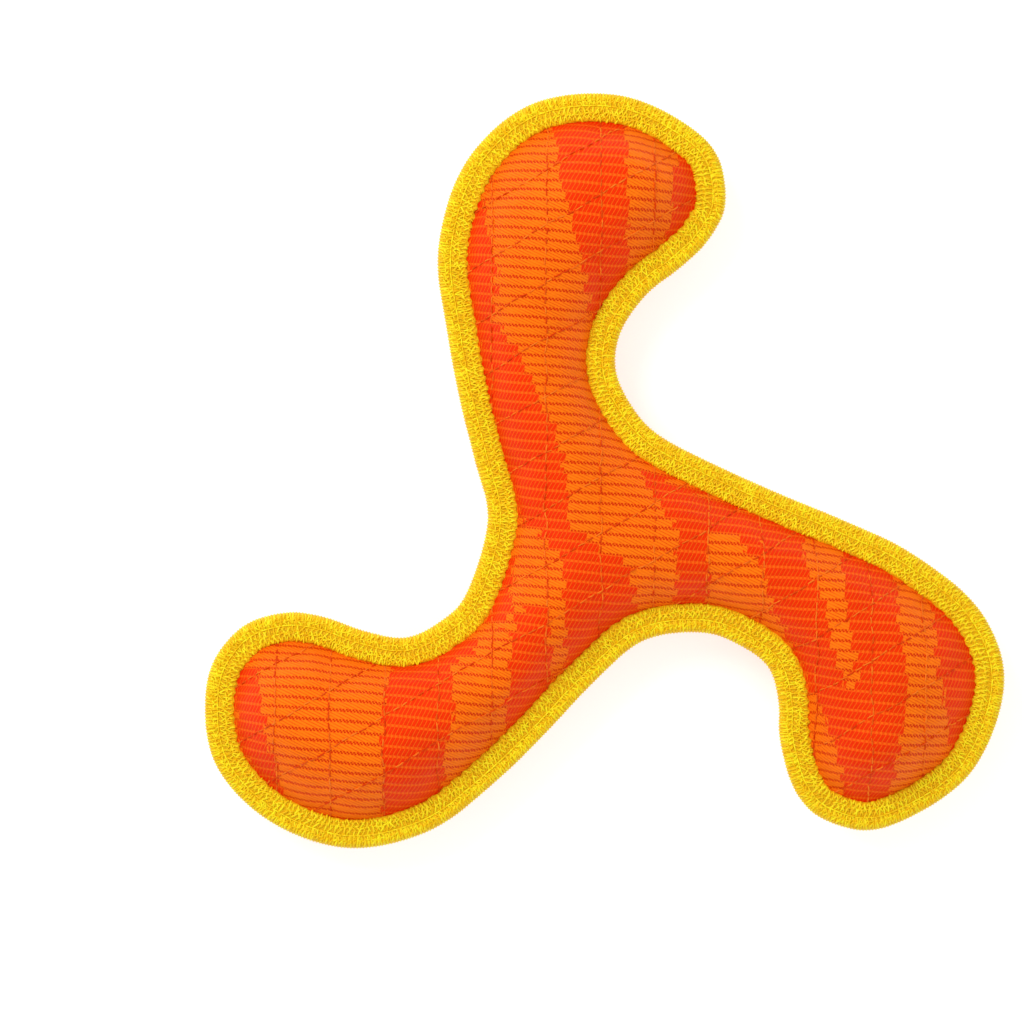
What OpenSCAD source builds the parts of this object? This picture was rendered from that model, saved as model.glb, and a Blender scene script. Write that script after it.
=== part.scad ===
// Three-armed soft boomerang: a stuffed, quilted throw-and-tug toy with a taped edge
// and a squeaker in the bulb of each arm. It lies on its back panel with its front up.

/* [Overall] */
// Width across the two lower arms, over the binding
toy_w = 292; // [240:1:350]
// Thickness of a stuffed bulb, front to back
toy_h = 44; // [38:1:54]

/* [Fabric] */
// Thickness of the woven outer cover
cover_t = 1.1; // [0.6:0.1:2]
// Thickness of the lining quilted to the cover
lining_t = 0.9; // [0.5:0.1:2]
// Gap between the lining and the stuffing
stuffing_gap = 0.3; // [0.1:0.1:1]

/* [Edge binding] */
// Width of the binding's face, from the outer fold to its inner edge
binding_w = 11; // [8:0.5:15]
// Thickness of the binding tape
tape_t = 1.2; // [0.8:0.1:2]
// Distance of the straight stitch row from the outer fold
stitch_inset = 4.8; // [3:0.1:7]
// Thickness of the sewing thread
thread_d = 0.6; // [0.3:0.1:1]

/* [Squeaker] */
// Diameter of the bladder over its pleats
bladder_d = 28; // [22:0.5:32]
// Height of the bladder
bladder_h = 14; // [11:0.5:15]
// Wall of the bladder
bladder_wall = 0.9; // [0.6:0.1:1.5]
// How far a pleat dips in
pleat_depth = 2.2; // [1:0.1:3]
// Diameter of the plug where the bladder grips it
plug_d = 10; // [8:0.5:14]
// Diameter of the plug's flange
flange_d = 13; // [11:0.5:18]
// Thickness of the plug's flange
flange_t = 1; // [0.6:0.1:2]
// Diameter of the plug's air passage
airway_d = 4; // [2:0.1:5]
// Length of the reed
reed_l = 7; // [5:0.5:9]
// Width of the reed
reed_w = 2.6; // [2:0.1:4]
// Thickness of the reed
reed_t = 0.2; // [0.1:0.05:0.4]
// Wall of the cap that holds the reed
cap_t = 1; // [0.6:0.1:1.6]
// Diameter of the sound hole in the cap
sound_hole_d = 2.4; // [1:0.1:4]
// Travel of the plug as the bladder is squeezed
press_travel = 5; // [3:0.5:6]
// Clearance of a moulded fit, on the radius
fit_gap = 0.05; // [0.03:0.01:0.1]
// Wall of the cloth pouch round a squeaker
pouch_t = 0.8; // [0.5:0.1:1.5]
// Room between the squeaker and its pouch
pouch_gap = 0.5; // [0.3:0.1:1]

/* [Hidden] */

$fn = 64;
HUGE = 1000;

// The sewing pattern, seen from the front, in millimetres from the middle of the hub.
// Each arm has the bay before it, its stations from the hub outwards, and its nose.
// A station is [crown point, edge on the clockwise side, edge on the other side].
TOP = 0;
LEFT = 1;
RIGHT = 2;
BAYS = [[22, 38], [-41, 7], [16, -37]];
STATIONS = [
    [
        [[-17, 38], [12, 48.5], [-45.5, 28]],
        [[-22, 56], [6, 62], [-51, 50]],
        [[-24, 78], [8, 76], [-56, 77]],
        [[-21, 100], [17.5, 89.5], [-59, 106]],
        [[-11, 119], [29.5, 99], [-49, 137.5]],
        [[7, 128], [40, 109.5], [-24.5, 159]]
    ],
    [
        [[-24, -33], [-48.5, -19], [-1.5, -51.5]],
        [[-38, -50], [-58, -29.5], [-19.5, -70.5]],
        [[-55, -62], [-71, -35.5], [-37.5, -88]],
        [[-74, -71], [-86, -33], [-61.5, -106]],
        [[-95, -71], [-100.5, -28], [-92, -112.5]],
        [[-110, -61], [-115, -26.5], [-121.5, -102]]
    ],
    [
        [[40, -4], [37, -34], [42, 27.5]],
        [[59, -11], [51.5, -39], [66.5, 16.5]],
        [[77, -20], [61.5, -47], [90.5, 6.5]],
        [[95, -35], [65, -59.5], [114, -5]],
        [[105, -52], [65.5, -73], [138.5, -25.5]],
        [[100, -70], [71, -91.5], [147.5, -53]]
    ]
];
NOSES = [
    [[46, 124], [39.5, 145], [10, 161.5]],
    [[-131.5, -32.5], [-143, -50.5], [-141, -80]],
    [[82.5, -102.5], [104, -105], [134.5, -86]]
];
// Station whose crown point a squeaker lies under, and station where the hub stuffing ends
SQUEAKER_STATION = 5;
HUB_END_STATION = 2;
// Mesh steps: along the edge between two pattern points, and from the edge up to the crown
EDGE_STEPS = 3;
DOME_STEPS = 4;
// Crown steps on each side that even out the stuffing, and that lead from the hub to an arm
EVENING = 3;
HUB_BLEND_STEPS = 4;

// Fold of the binding: how round its outer edge is
fold_r = 1.6;
fold_shoulder = 0.4;
fold_drop = 0.7;
// Room between the flange's cut edge and the fold of the tape
flange_room = 0.2;
// Air left under the plug when the squeaker is fully pressed
plug_room = 1;
pouch_corner = 3;
// How far each pleat's ridge stands from the bladder's end, as a share of its height
PLEAT_RIDGE = 0.2;
reed_room = 0.2;
cap_grip = 0.8;

arms = len(STATIONS);
stations = len(STATIONS[0]);
nose_points = len(NOSES[0]);
knots_per_arm = 1 + 2 * stations + nose_points;
samples_per_arm = knots_per_arm * EDGE_STEPS;
samples = arms * samples_per_arm;
side_samples = stations * EDGE_STEPS;

function reversed(list) = [for (i = [len(list) - 1 : -1 : 0]) list[i]];
function flatten(lists) = [for (list = lists) each list];
function lowest(list, axis) = min([for (p = list) p[axis]]);
function highest(list, axis) = max([for (p = list) p[axis]]);
function unit(v) = v / norm(v);

// Smooth curve through four neighbouring points, between the middle two
function curve_point(a, b, c, d, t) =
    (2 * b + (c - a) * t + (2 * a - 5 * b + 4 * c - d) * t ^ 2 + (3 * b - a - 3 * c + d) * t ^ 3) / 2;

pattern_knots = [
    for (arm = [0 : arms - 1])
        each concat(
            [BAYS[arm]],
            [for (s = STATIONS[arm]) s[1]],
            NOSES[arm],
            reversed([for (s = STATIONS[arm]) s[2]])
        )
];

function closed_curve(knots) =
    let (n = len(knots))
    [
        for (i = [0 : n - 1], step = [0 : EDGE_STEPS - 1])
            curve_point(
                knots[(i + n - 1) % n], knots[i], knots[(i + 1) % n], knots[(i + 2) % n],
                step / EDGE_STEPS
            )
    ];

// The crown line of an arm runs from the hub to its last station
function crown_knots(arm) = concat([[0, 0]], [for (s = STATIONS[arm]) s[0]]);
function crown_curve(arm) =
    let (k = crown_knots(arm), last = len(k) - 1)
    concat(
        [
            for (i = [0 : last - 1], step = [0 : EDGE_STEPS - 1])
                curve_point(
                    i == 0 ? 2 * k[0] - k[1] : k[i - 1], k[i], k[i + 1],
                    i + 2 > last ? 2 * k[last] - k[last - 1] : k[i + 2],
                    step / EDGE_STEPS
                )
        ],
        [k[last]]
    );

// Scale and shift the pattern so that the toy has its width and stands over its origin
pattern_edge = closed_curve(pattern_knots);
pattern_scale = toy_w / (highest(pattern_edge, 0) - lowest(pattern_edge, 0));
pattern_middle = [
    (highest(pattern_edge, 0) + lowest(pattern_edge, 0)) / 2,
    (highest(pattern_edge, 1) + lowest(pattern_edge, 1)) / 2
];
function placed(points) = [for (p = points) (p - pattern_middle) * pattern_scale];

edge = placed(pattern_edge);
crowns = [for (arm = [0 : arms - 1]) placed(crown_curve(arm))];

// Each edge sample is tied to a step along its arm's crown line; the nose to its last step
function sample_arm(i) = floor(i / samples_per_arm);
function crown_step(i) =
    let (j = i % samples_per_arm)
    min(j, samples_per_arm - j, side_samples);
function crown_of(i) = crowns[sample_arm(i)][crown_step(i)];
// The bay's sample and the hub are shared by all the arms
function crown_index(i) =
    crown_step(i) == 0 ? 0 : 1 + sample_arm(i) * side_samples + crown_step(i) - 1;
crown_count = 1 + arms * side_samples;

inward = [
    for (i = [0 : samples - 1])
        let (along = unit(edge[(i + 1) % samples] - edge[(i + samples - 1) % samples]))
        [-along[1], along[0]]
];
function inset(i, distance) = edge[i] + inward[i] * distance;

// Height of the seam between the two faces, and the stack of cloth on each side of it
seam_z = toy_h / 2;
stack_t = cover_t + lining_t;
bulb_rise = seam_z - stack_t;

foot = [for (i = [0 : samples - 1]) inset(i, binding_w)];
half_width = [for (i = [0 : samples - 1]) norm(foot[i] - crown_of(i))];

// Half width of an arm at each crown step, evened out over its neighbours
function mean(list) = list * [for (v = list) 1] / len(list);
function raw_width(arm, step) =
    let (
        j = min(abs(step), side_samples),
        start = arm * samples_per_arm
    )
    mean([half_width[start + j], half_width[(start + samples_per_arm - j) % samples]]);
arm_widths = [
    for (arm = [0 : arms - 1])
        [
            for (step = [0 : side_samples])
                mean([for (d = [-EVENING : EVENING]) raw_width(arm, step + d)])
        ]
];
// A narrow stretch is stuffed less high than a wide one; the widest reaches the full height
fullness = [for (widths = arm_widths) [for (w = widths) sqrt(w / max(widths))]];
hub_fullness = mean([for (f = fullness) f[0]]);
rises = [
    for (f = fullness)
        [
            for (step = [0 : side_samples])
                let (own = min(1, step / HUB_BLEND_STEPS))
                bulb_rise * (own * f[step] + (1 - own) * hub_fullness)
        ]
];
function rise(i) = rises[sample_arm(i)][crown_step(i)];

// One ring of a domed surface, depth below the cover's face, from crown (0) to foot (last).
// Each section from crown to foot is a circular arc; z counts from the flange's top.
function arc_radius(i) = (half_width[i] ^ 2 + rise(i) ^ 2) / (2 * rise(i));
function arc_angle(i) = 2 * atan(rise(i) / half_width[i]);
function dome_point(i, step, depth) =
    let (
        angle = arc_angle(i) * step / DOME_STEPS,
        r = arc_radius(i) - depth,
        out = unit(foot[i] - crown_of(i)),
        p = crown_of(i) + out * r * sin(angle),
        z = step == DOME_STEPS ? -depth : r * cos(angle) - arc_radius(i) + rise(i)
    )
    [p[0], p[1], z];
function dome_crowns(depth) =
    concat(
        [[each crowns[0][0], rise(0) - depth]],
        [
            for (arm = [0 : arms - 1], step = [1 : side_samples])
                let (i = arm * samples_per_arm + step)
                [each crowns[arm][step], rise(i) - depth]
        ]
    );
function dome_ring(step, depth) = [for (i = [0 : samples - 1]) dome_point(i, step, depth)];

// Faces of a closed band between two whole rings, which start at vertices a and b.
// Each four-sided face is cut along one diagonal, or along the other where swapped is true,
// so that two layers that lie on each other are cut alike.
function band(a, b, swapped = false) = [
    for (i = [0 : samples - 1])
        let (j = (i + 1) % samples)
        each swapped
            ? [[a + i, a + j, b + i], [a + j, b + j, b + i]]
            : [[a + i, a + j, b + j], [a + i, b + j, b + i]]
];
// Faces between a ring and the crown line, which closes the dome
function crown_band(a, crown) = [
    for (i = [0 : samples - 1])
        let (
            j = (i + 1) % samples,
            ci = crown + crown_index(i),
            cj = crown + crown_index(j)
        )
        each ci == cj
            ? [[a + i, a + j, cj]]
            : [[a + i, a + j, cj], [a + i, cj, ci]]
];
function flipped(faces) = [for (f = faces) reversed(f)];

// A domed layer of cloth with a flat flange, between two depths below the cover's face
module cloth_layer(top_depth, bottom_depth) {
    flange_inset = tape_t + flange_room;
    outer_rings = [for (step = [1 : DOME_STEPS]) dome_ring(step, top_depth)];
    inner_rings = [for (step = [DOME_STEPS : -1 : 1]) dome_ring(step, bottom_depth)];
    flange_rings = [
        for (depth = [top_depth, bottom_depth])
            [for (i = [0 : samples - 1]) [each inset(i, flange_inset), -depth]]
    ];
    rings = concat(outer_rings, flange_rings, inner_rings);
    crown_start = len(rings) * samples;
    points = concat(flatten(rings), dome_crowns(top_depth), dome_crowns(bottom_depth));
    faces = concat(
        crown_band(0, crown_start),
        flatten([
            for (r = [0 : len(rings) - 2])
                band((r + 1) * samples, r * samples, r > DOME_STEPS)
        ]),
        flipped(crown_band((len(rings) - 1) * samples, crown_start + crown_count))
    );
    polyhedron(points, flipped(faces), convexity = 6);
}

module on_front() {
    translate([0, 0, seam_z + stack_t]) children();
}
module on_back() {
    translate([0, 0, seam_z - stack_t]) mirror([0, 0, 1]) children();
}

module front_cover() {
    color("orangered") on_front() cloth_layer(0, cover_t);
}
module back_cover() {
    color("orangered") on_back() cloth_layer(0, cover_t);
}
module front_lining() {
    color("ivory") on_front() cloth_layer(cover_t, stack_t);
}
module back_lining() {
    color("ivory") on_back() cloth_layer(cover_t, stack_t);
}

// The tape's section: [distance in from the outer fold, height from the seam]
module edge_binding() {
    top = stack_t + tape_t;
    front = [[binding_w, top], [fold_r, top], [fold_shoulder, top * fold_drop]];
    section = concat(
        front,
        [[0, 0]],
        reversed([for (p = front) [p[0], -p[1]]]),
        [[binding_w, -stack_t], [tape_t, -stack_t], [tape_t, stack_t], [binding_w, stack_t]]
    );
    ring_count = len(section);
    points = [
        for (s = section, i = [0 : samples - 1])
            [each inset(i, s[0]), seam_z + s[1]]
    ];
    faces = flatten([
        for (r = [0 : ring_count - 1])
            band(r * samples, ((r + 1) % ring_count) * samples)
    ]);
    color("gold") polyhedron(points, flipped(faces), convexity = 10);
}

// A row of lockstitch laid round the binding's face, as one closed four-sided cord
module stitch_row(side) {
    r = thread_d / 2;
    z = seam_z + side * (stack_t + tape_t + r);
    section = [[0, r], [r, 0], [0, -r], [-r, 0]];
    points = [
        for (s = section, i = [0 : samples - 1])
            [each inset(i, stitch_inset + s[0]), z + s[1]]
    ];
    faces = flatten([
        for (r = [0 : len(section) - 1])
            band(r * samples, ((r + 1) % len(section)) * samples)
    ]);
    color("goldenrod") polyhedron(points, faces, convexity = 10);
}
module front_stitch_row() {
    stitch_row(1);
}
module back_stitch_row() {
    stitch_row(-1);
}

// A wad of stuffing fills runs of edge samples from foot to crown, on both sides of the seam.
// Each run closes its two ends with a wall from the foot to the crown line.
function stuffing_point(i, step) =
    let (p = dome_point(i, step, stack_t + stuffing_gap))
    step == DOME_STEPS ? [p[0], p[1], 0] : [p[0], p[1], p[2] + stack_t];
function run_points(run) = [
    for (i = run, step = [0 : DOME_STEPS], side = [1, -1])
        let (p = stuffing_point(i, step))
        [p[0], p[1], side * p[2]]
];
function run_faces(run, start) =
    let (
        per_sample = 2 * (DOME_STEPS + 1),
        last = start + (len(run) - 1) * per_sample
    )
    concat(
        [
            for (n = [0 : len(run) - 2], step = [0 : DOME_STEPS - 1], side = [0, 1])
                let (
                    a = start + n * per_sample + 2 * step + side,
                    b = a + per_sample,
                    same = crown_index(run[n]) == crown_index(run[n + 1]) && step == 0,
                    tris = same
                        ? [[a, a + 2, b + 2]]
                        : [[a, a + 2, b], [a + 2, b + 2, b]]
                )
                each side == 0 ? tris : flipped(tris)
        ],
        [
            for (step = [0 : DOME_STEPS - 1], end = [start, last])
                let (
                    a = end + 2 * step,
                    tris = step == DOME_STEPS - 1
                        ? [[a, a + 1, a + 2]]
                        : [[a, a + 1, a + 3], [a, a + 3, a + 2]]
                )
                each end == start ? tris : flipped(tris)
        ]
    );
module wad(runs) {
    starts = [
        for (r = 0, at = 0; r < len(runs); at = at + len(run_points(runs[r])), r = r + 1) at
    ];
    color("whitesmoke") translate([0, 0, seam_z])
        polyhedron(
            flatten([for (run = runs) run_points(run)]),
            flatten([for (r = [0 : len(runs) - 1]) run_faces(runs[r], starts[r])]),
            convexity = 6
        );
}
hub_end = HUB_END_STATION * EDGE_STEPS;
module arm_stuffing(arm) {
    start = arm * samples_per_arm;
    difference() {
        wad([[for (i = [hub_end : samples_per_arm - hub_end]) start + i]]);
        at_squeaker(arm) pouch_room();
    }
}
module hub_stuffing() {
    wad([
        for (arm = [0 : arms - 1])
            let (bay = arm * samples_per_arm)
            [for (i = [-hub_end : hub_end]) (bay + i + samples) % samples]
    ]);
}

// The squeaker is drawn about its own base, on its own axis
squeaker_h = bladder_h + flange_t + reed_t + reed_room + cap_t;
pouch_h = squeaker_h + 2 * (pouch_gap + pouch_t);
pouch_d = bladder_d + 2 * (pouch_gap + pouch_t);
plug_depth = bladder_h - bladder_wall - press_travel - plug_room;
function squeaker_axis(arm) = crowns[arm][SQUEAKER_STATION * EDGE_STEPS];

module at_squeaker(arm) {
    translate([each squeaker_axis(arm), seam_z - squeaker_h / 2]) children();
}

// A drum with rounded rims, on the axis
module drum(d, h, corner) {
    rotate_extrude()
        intersection() {
            hull() {
                for (z = [corner, h - corner])
                    translate([d / 2 - corner, z]) circle(corner);
                square([d / 2 - corner, h]);
            }
            square([d, h]);
        }
}
module pouch_room() {
    translate([0, 0, -pouch_gap - pouch_t - stuffing_gap])
        cylinder(d = pouch_d + 2 * stuffing_gap, h = pouch_h + 2 * stuffing_gap);
}
module pouch(arm) {
    color("lightgrey") at_squeaker(arm) difference() {
        translate([0, 0, -pouch_gap - pouch_t]) drum(pouch_d, pouch_h, pouch_corner);
        translate([0, 0, -pouch_gap])
            drum(pouch_d - 2 * pouch_t, pouch_h - 2 * pouch_t, pouch_corner - pouch_t);
    }
}

// Half section of the pleated bladder, shrunk by inset on every face
module bladder_section(inset_by) {
    r = bladder_d / 2 - inset_by;
    low = inset_by;
    high = bladder_h - inset_by;
    rim = r - pleat_depth;
    ridge = (high - low) * PLEAT_RIDGE;
    polygon([
        [0, low], [rim, low], [r, low + ridge], [rim, (low + high) / 2],
        [r, high - ridge], [rim, high], [0, high]
    ]);
}
module bladder(arm) {
    color("white") at_squeaker(arm) difference() {
        rotate_extrude() bladder_section(0);
        rotate_extrude() bladder_section(bladder_wall);
        translate([0, 0, bladder_h / 2]) cylinder(d = plug_d + 2 * fit_gap, h = bladder_h);
    }
}
module plug(arm) {
    color("tomato") at_squeaker(arm) difference() {
        union() {
            translate([0, 0, bladder_h - bladder_wall - plug_depth])
                cylinder(d = plug_d, h = plug_depth + bladder_wall);
            translate([0, 0, bladder_h]) cylinder(d = flange_d, h = flange_t);
        }
        cylinder(d = airway_d, h = HUGE, center = true);
    }
}
module reed(arm) {
    color("silver") at_squeaker(arm)
        translate([-reed_l / 2, -reed_w / 2, bladder_h + flange_t]) cube([reed_l, reed_w, reed_t]);
}
module cap(arm) {
    skirt_r = flange_d / 2 + fit_gap;
    pocket_h = reed_t + reed_room;
    top = bladder_h + flange_t + pocket_h + cap_t;
    color("orange") at_squeaker(arm) difference() {
        translate([0, 0, bladder_h + reed_room])
            cylinder(r = skirt_r + cap_grip, h = top - bladder_h - reed_room);
        translate([0, 0, bladder_h - flange_t]) cylinder(r = skirt_r, h = 2 * flange_t);
        translate([-reed_l / 2 - reed_room, -reed_w / 2 - reed_room, bladder_h])
            cube([reed_l + 2 * reed_room, reed_w + 2 * reed_room, flange_t + pocket_h]);
        cylinder(d = sound_hole_d, h = HUGE, center = true);
    }
}

front_cover();
back_cover();
front_lining();
back_lining();
edge_binding();
front_stitch_row();
back_stitch_row();
hub_stuffing();
arm_stuffing(TOP);  // top_stuffing
arm_stuffing(LEFT);  // left_stuffing
arm_stuffing(RIGHT);  // right_stuffing
pouch(TOP);  // top_pouch
bladder(TOP);  // top_bladder
plug(TOP);  // top_plug
reed(TOP);  // top_reed
cap(TOP);  // top_cap
pouch(LEFT);  // left_pouch
bladder(LEFT);  // left_bladder
plug(LEFT);  // left_plug
reed(LEFT);  // left_reed
cap(LEFT);  // left_cap
pouch(RIGHT);  // right_pouch
bladder(RIGHT);  // right_bladder
plug(RIGHT);  // right_plug
reed(RIGHT);  // right_reed
cap(RIGHT);  // right_cap
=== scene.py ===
import math

import bpy
import numpy as np
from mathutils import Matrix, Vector, noise
from mathutils.bvhtree import BVHTree
from mathutils.geometry import delaunay_2d_cdt


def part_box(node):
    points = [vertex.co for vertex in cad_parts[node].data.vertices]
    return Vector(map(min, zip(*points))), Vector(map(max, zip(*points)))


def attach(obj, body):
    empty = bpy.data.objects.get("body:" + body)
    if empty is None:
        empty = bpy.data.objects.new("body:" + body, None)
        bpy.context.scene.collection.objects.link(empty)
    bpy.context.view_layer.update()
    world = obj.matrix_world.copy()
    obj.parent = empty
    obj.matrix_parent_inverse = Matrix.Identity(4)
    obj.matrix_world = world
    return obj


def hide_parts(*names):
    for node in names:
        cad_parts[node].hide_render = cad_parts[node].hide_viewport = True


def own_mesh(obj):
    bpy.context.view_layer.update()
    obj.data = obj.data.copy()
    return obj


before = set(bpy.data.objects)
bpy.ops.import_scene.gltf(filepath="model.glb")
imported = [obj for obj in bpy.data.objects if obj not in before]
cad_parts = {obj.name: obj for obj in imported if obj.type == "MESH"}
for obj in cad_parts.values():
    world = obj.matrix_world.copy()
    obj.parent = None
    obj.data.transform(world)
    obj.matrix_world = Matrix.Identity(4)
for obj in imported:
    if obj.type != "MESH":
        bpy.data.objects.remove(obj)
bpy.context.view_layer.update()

bl_info = {
    "name": "Stuffed boomerang toy",
    "version": (1, 0, 0),
    "blender": (4, 5, 0),
    "location": "View3D > Sidebar > Boomerang",
    "description": "Quilted covers, edge tape, stitching, stuffing and squeakers of a soft three-armed boomerang",
    "category": "Object",
}

MM = 0.001
TAPE_LOW, TAPE_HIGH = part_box("edge_binding")
SEAM_Z = (TAPE_LOW.z + TAPE_HIGH.z) / 2
TAPE_FACE = (TAPE_HIGH.z - TAPE_LOW.z) / 2
FLANGE_TOP = 2 * MM  # the covers' flat rim under the tape, above the seam
FLANGE_INSETS = (8 * MM, 5 * MM, 1.4 * MM)
LINING_INSET = 1.6 * MM
SEAM_INSET = 4.85 * MM
FOLD_INSET = 0.3 * MM  # the tape's fold stands this far inside the edge, its ribs reach the edge
HUB = Vector((-1.76 * MM, -25.18 * MM))
QUILT_START = np.array([HUB.x, HUB.y + 2 * MM])  # where an upright and a rising line cross
QUILT_SLOPE = math.tan(math.radians(30))
QUILT_STEPS = 9  # steps of the cloth's lattice between two quilting lines
WEAVE_LEAN = math.radians(5)
SWELL_FRAMES = 20
FLOOR_Z = -0.9 * MM
YARN_GLOSS = (1.0, 0.85, 0.5, 1.0)
QUILTING_GLOSS = (1.0, 0.3, 0.08, 1.0)
CLOTH_GLOSS = (1.0, 0.42, 0.14, 1.0)
FRONT, BACK = 1, -1
ARMS = ("top", "left", "right")
# Zigzag over the tape: each row's inset, slant and the length of its stitches, in millimetres
ZIGZAG_ROWS = (
    (6.3, 0.42, 3.0), (7.0, -0.42, 2.8), (8.4, 0.35, 3.0), (9.2, -0.45, 2.6), (3.1, 2.6, 1.9),
    (7.7, 3.0, 1.8), (2.1, 0.5, 1.8), (3.9, -0.6, 2.0), (9.7, 0.3, 1.4))

# Red stripes of the cloth, in millimetres from the hub: where each starts and ends,
# and half its width at either end
FRONT_STRIPES = [
    ((-45, 124), (-43.5, 98), 1.8, 5.5), ((-43.5, 98), (-42, 80), 5.5, 3.5),
    ((-42, 80), (-36, 63), 3.5, 7.5), ((-35, 62), (-30, 46), 7.5, 9.5),
    ((-30, 46), (-25, 30), 9.5, 11.0), ((-25, 30), (-21, 12), 11.0, 8.5),
    ((-20, 12), (-14, 0), 8.0, 4.0), ((-10, -2), (-3, -14), 6.0, 11.0),
    ((-1, -16), (0, -26), 12.5, 13.5), ((-2, -28), (-9, -45), 11.5, 4.0),
    ((33.5, 1), (33, -25), 5.0, 6.5), ((18, 22), (30, 12), 3.0, 7.0),
    ((30, 12), (44, 8.5), 7.0, 5.0), ((44, 8.5), (70, 1), 5.0, 4.5),
    ((66, -4), (68, -16), 8.0, 8.5), ((68, -16), (73, -26), 8.5, 9.0),
    ((54, 3), (56, -5), 4.5, 2.0), ((73, -26), (77, -40), 9.0, 6.5),
    ((77, -40), (83, -56), 6.5, 5.5), ((83, -56), (91, -68), 5.5, 8.0),
    ((97.5, -8), (99, -30), 9.5, 9.5), ((99, -30), (102, -52), 9.5, 8.5),
    ((101, -54), (97, -76), 9.5, 11.0), ((97, -76), (98, -93), 10.5, 8.0),
    ((127, -24), (130, -46), 6.0, 8.0), ((130, -46), (132, -74), 7.5, 5.0),
    ((-66, -52), (-66, -64), 12.0, 13.0), ((-66, -64), (-69, -98), 12.5, 10.0),
    ((-60, -44), (-48, -38), 4.0, 3.0), ((-25, -30), (-26, -46), 6.0, 8.0),
    ((-26, -46), (-28, -66), 8.0, 6.0), ((-34, -8), (-37, -27), 2.5, 4.0),
    ((-129, -50), (-125, -76), 4.5, 5.5), ((-125, -76), (-118, -92), 5.5, 2.0),
    ((-4, 150), (-2, 128), 13.5, 11.5), ((-2, 128), (1, 105), 11.5, 9.0),
    ((1, 105), (2.5, 84), 9.0, 6.0), ((32, 138), (29, 108), 4.5, 5.0),
]
BACK_STRIPES = [
    ((-30, 150), (-34, 118), 6.0, 8.0), ((-34, 118), (-22, 84), 8.0, 5.0),
    ((8, 140), (14, 112), 7.0, 5.0), ((-14, 76), (-10, 44), 5.0, 8.5),
    ((-10, 44), (-20, 12), 8.5, 7.0), ((-38, 60), (-36, 40), 3.0, 4.0),
    ((14, 18), (22, -20), 8.0, 6.0), ((-8, -6), (-20, -36), 6.0, 9.0),
    ((48, 12), (52, -26), 6.5, 8.0), ((76, -6), (86, -40), 6.0, 8.0),
    ((86, -40), (94, -90), 8.0, 5.0), ((112, -18), (120, -60), 5.0, 9.0),
    ((-46, -40), (-54, -84), 8.0, 5.0), ((-84, -50), (-90, -98), 7.0, 8.5),
    ((-116, -44), (-112, -88), 5.0, 4.0), ((-3, -40), (-14, -54), 4.0, 3.0),
]


def srgb(red, green, blue):
    """A colour given from 0 to 255, as the linear one that a shader takes."""
    def linear(value):
        value = value / 255
        return value / 12.92 if value <= 0.04045 else ((value + 0.055) / 1.055) ** 2.4
    return (linear(red), linear(green), linear(blue), 1.0)


# ---------------------------------------------------------------- settings

def length(name, description, millimetres, low=0.01, high=100.0):
    return bpy.props.FloatProperty(
        name=name, description=description, default=millimetres * MM,
        min=low * MM, max=high * MM, unit="LENGTH", precision=5)


def colour(name, description, *rgb):
    return bpy.props.FloatVectorProperty(
        name=name, description=description, default=srgb(*rgb), size=4,
        min=0.0, max=1.0, subtype="COLOR")


class BOOMERANG_PG_sizes(bpy.types.PropertyGroup):
    foot_inset: length("Cover foot", "How far in from the fold the cover starts to rise", 10.4)
    cover_thickness: length("Cover thickness", "Thickness of the woven cover", 1.1)
    lining_thickness: length("Lining thickness", "Thickness of the lining", 0.7)
    quilting_across: length("Quilting across", "Distance between the upright quilting lines", 19.6)
    quilting_up: length("Quilting up", "Distance between the rising quilting lines", 20.5)
    puff: length("Puff", "How far a quilted cell may swell", 1.2)
    row_pitch: length("Row pitch", "Height of one woven row", 3.8)
    dash_pitch: length("Dash pitch", "Distance between the red dashes in a row", 1.6)
    twill_pitch: length("Twill pitch", "Distance between the twill lines of a plain row", 1.35)
    row_relief: length("Row relief", "Depth of the groove between two woven rows", 0.12)


class BOOMERANG_PG_tape(bpy.types.PropertyGroup):
    tape_width: length("Tape width", "Visible width of the folded tape", 11.0)
    tooth_height: length("Tooth height", "How far the tape's inner edge reaches in between two woven rows", 1.3)
    rib_pitch: length("Rib pitch", "Distance between the ribs across the tape", 1.16)
    rib_thickness: length("Rib thickness", "Diameter of a rib's yarn", 0.78)
    stitch_pitch: length("Stitch pitch", "Distance between the stitches of the seam row", 2.7)
    stitch_thickness: length("Stitch thread", "Diameter of the seam row's thread", 0.62)
    zigzag_pitch: length("Zigzag pitch", "Distance between the zigzag stitches", 1.75)
    zigzag_thickness: length("Zigzag thread", "Diameter of the zigzag thread", 0.66)
    quilting_pitch: length("Quilting stitch", "Distance between two quilting stitches", 3.6)
    quilting_thickness: length("Quilting thread", "Diameter of the quilting thread", 0.55)


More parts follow.
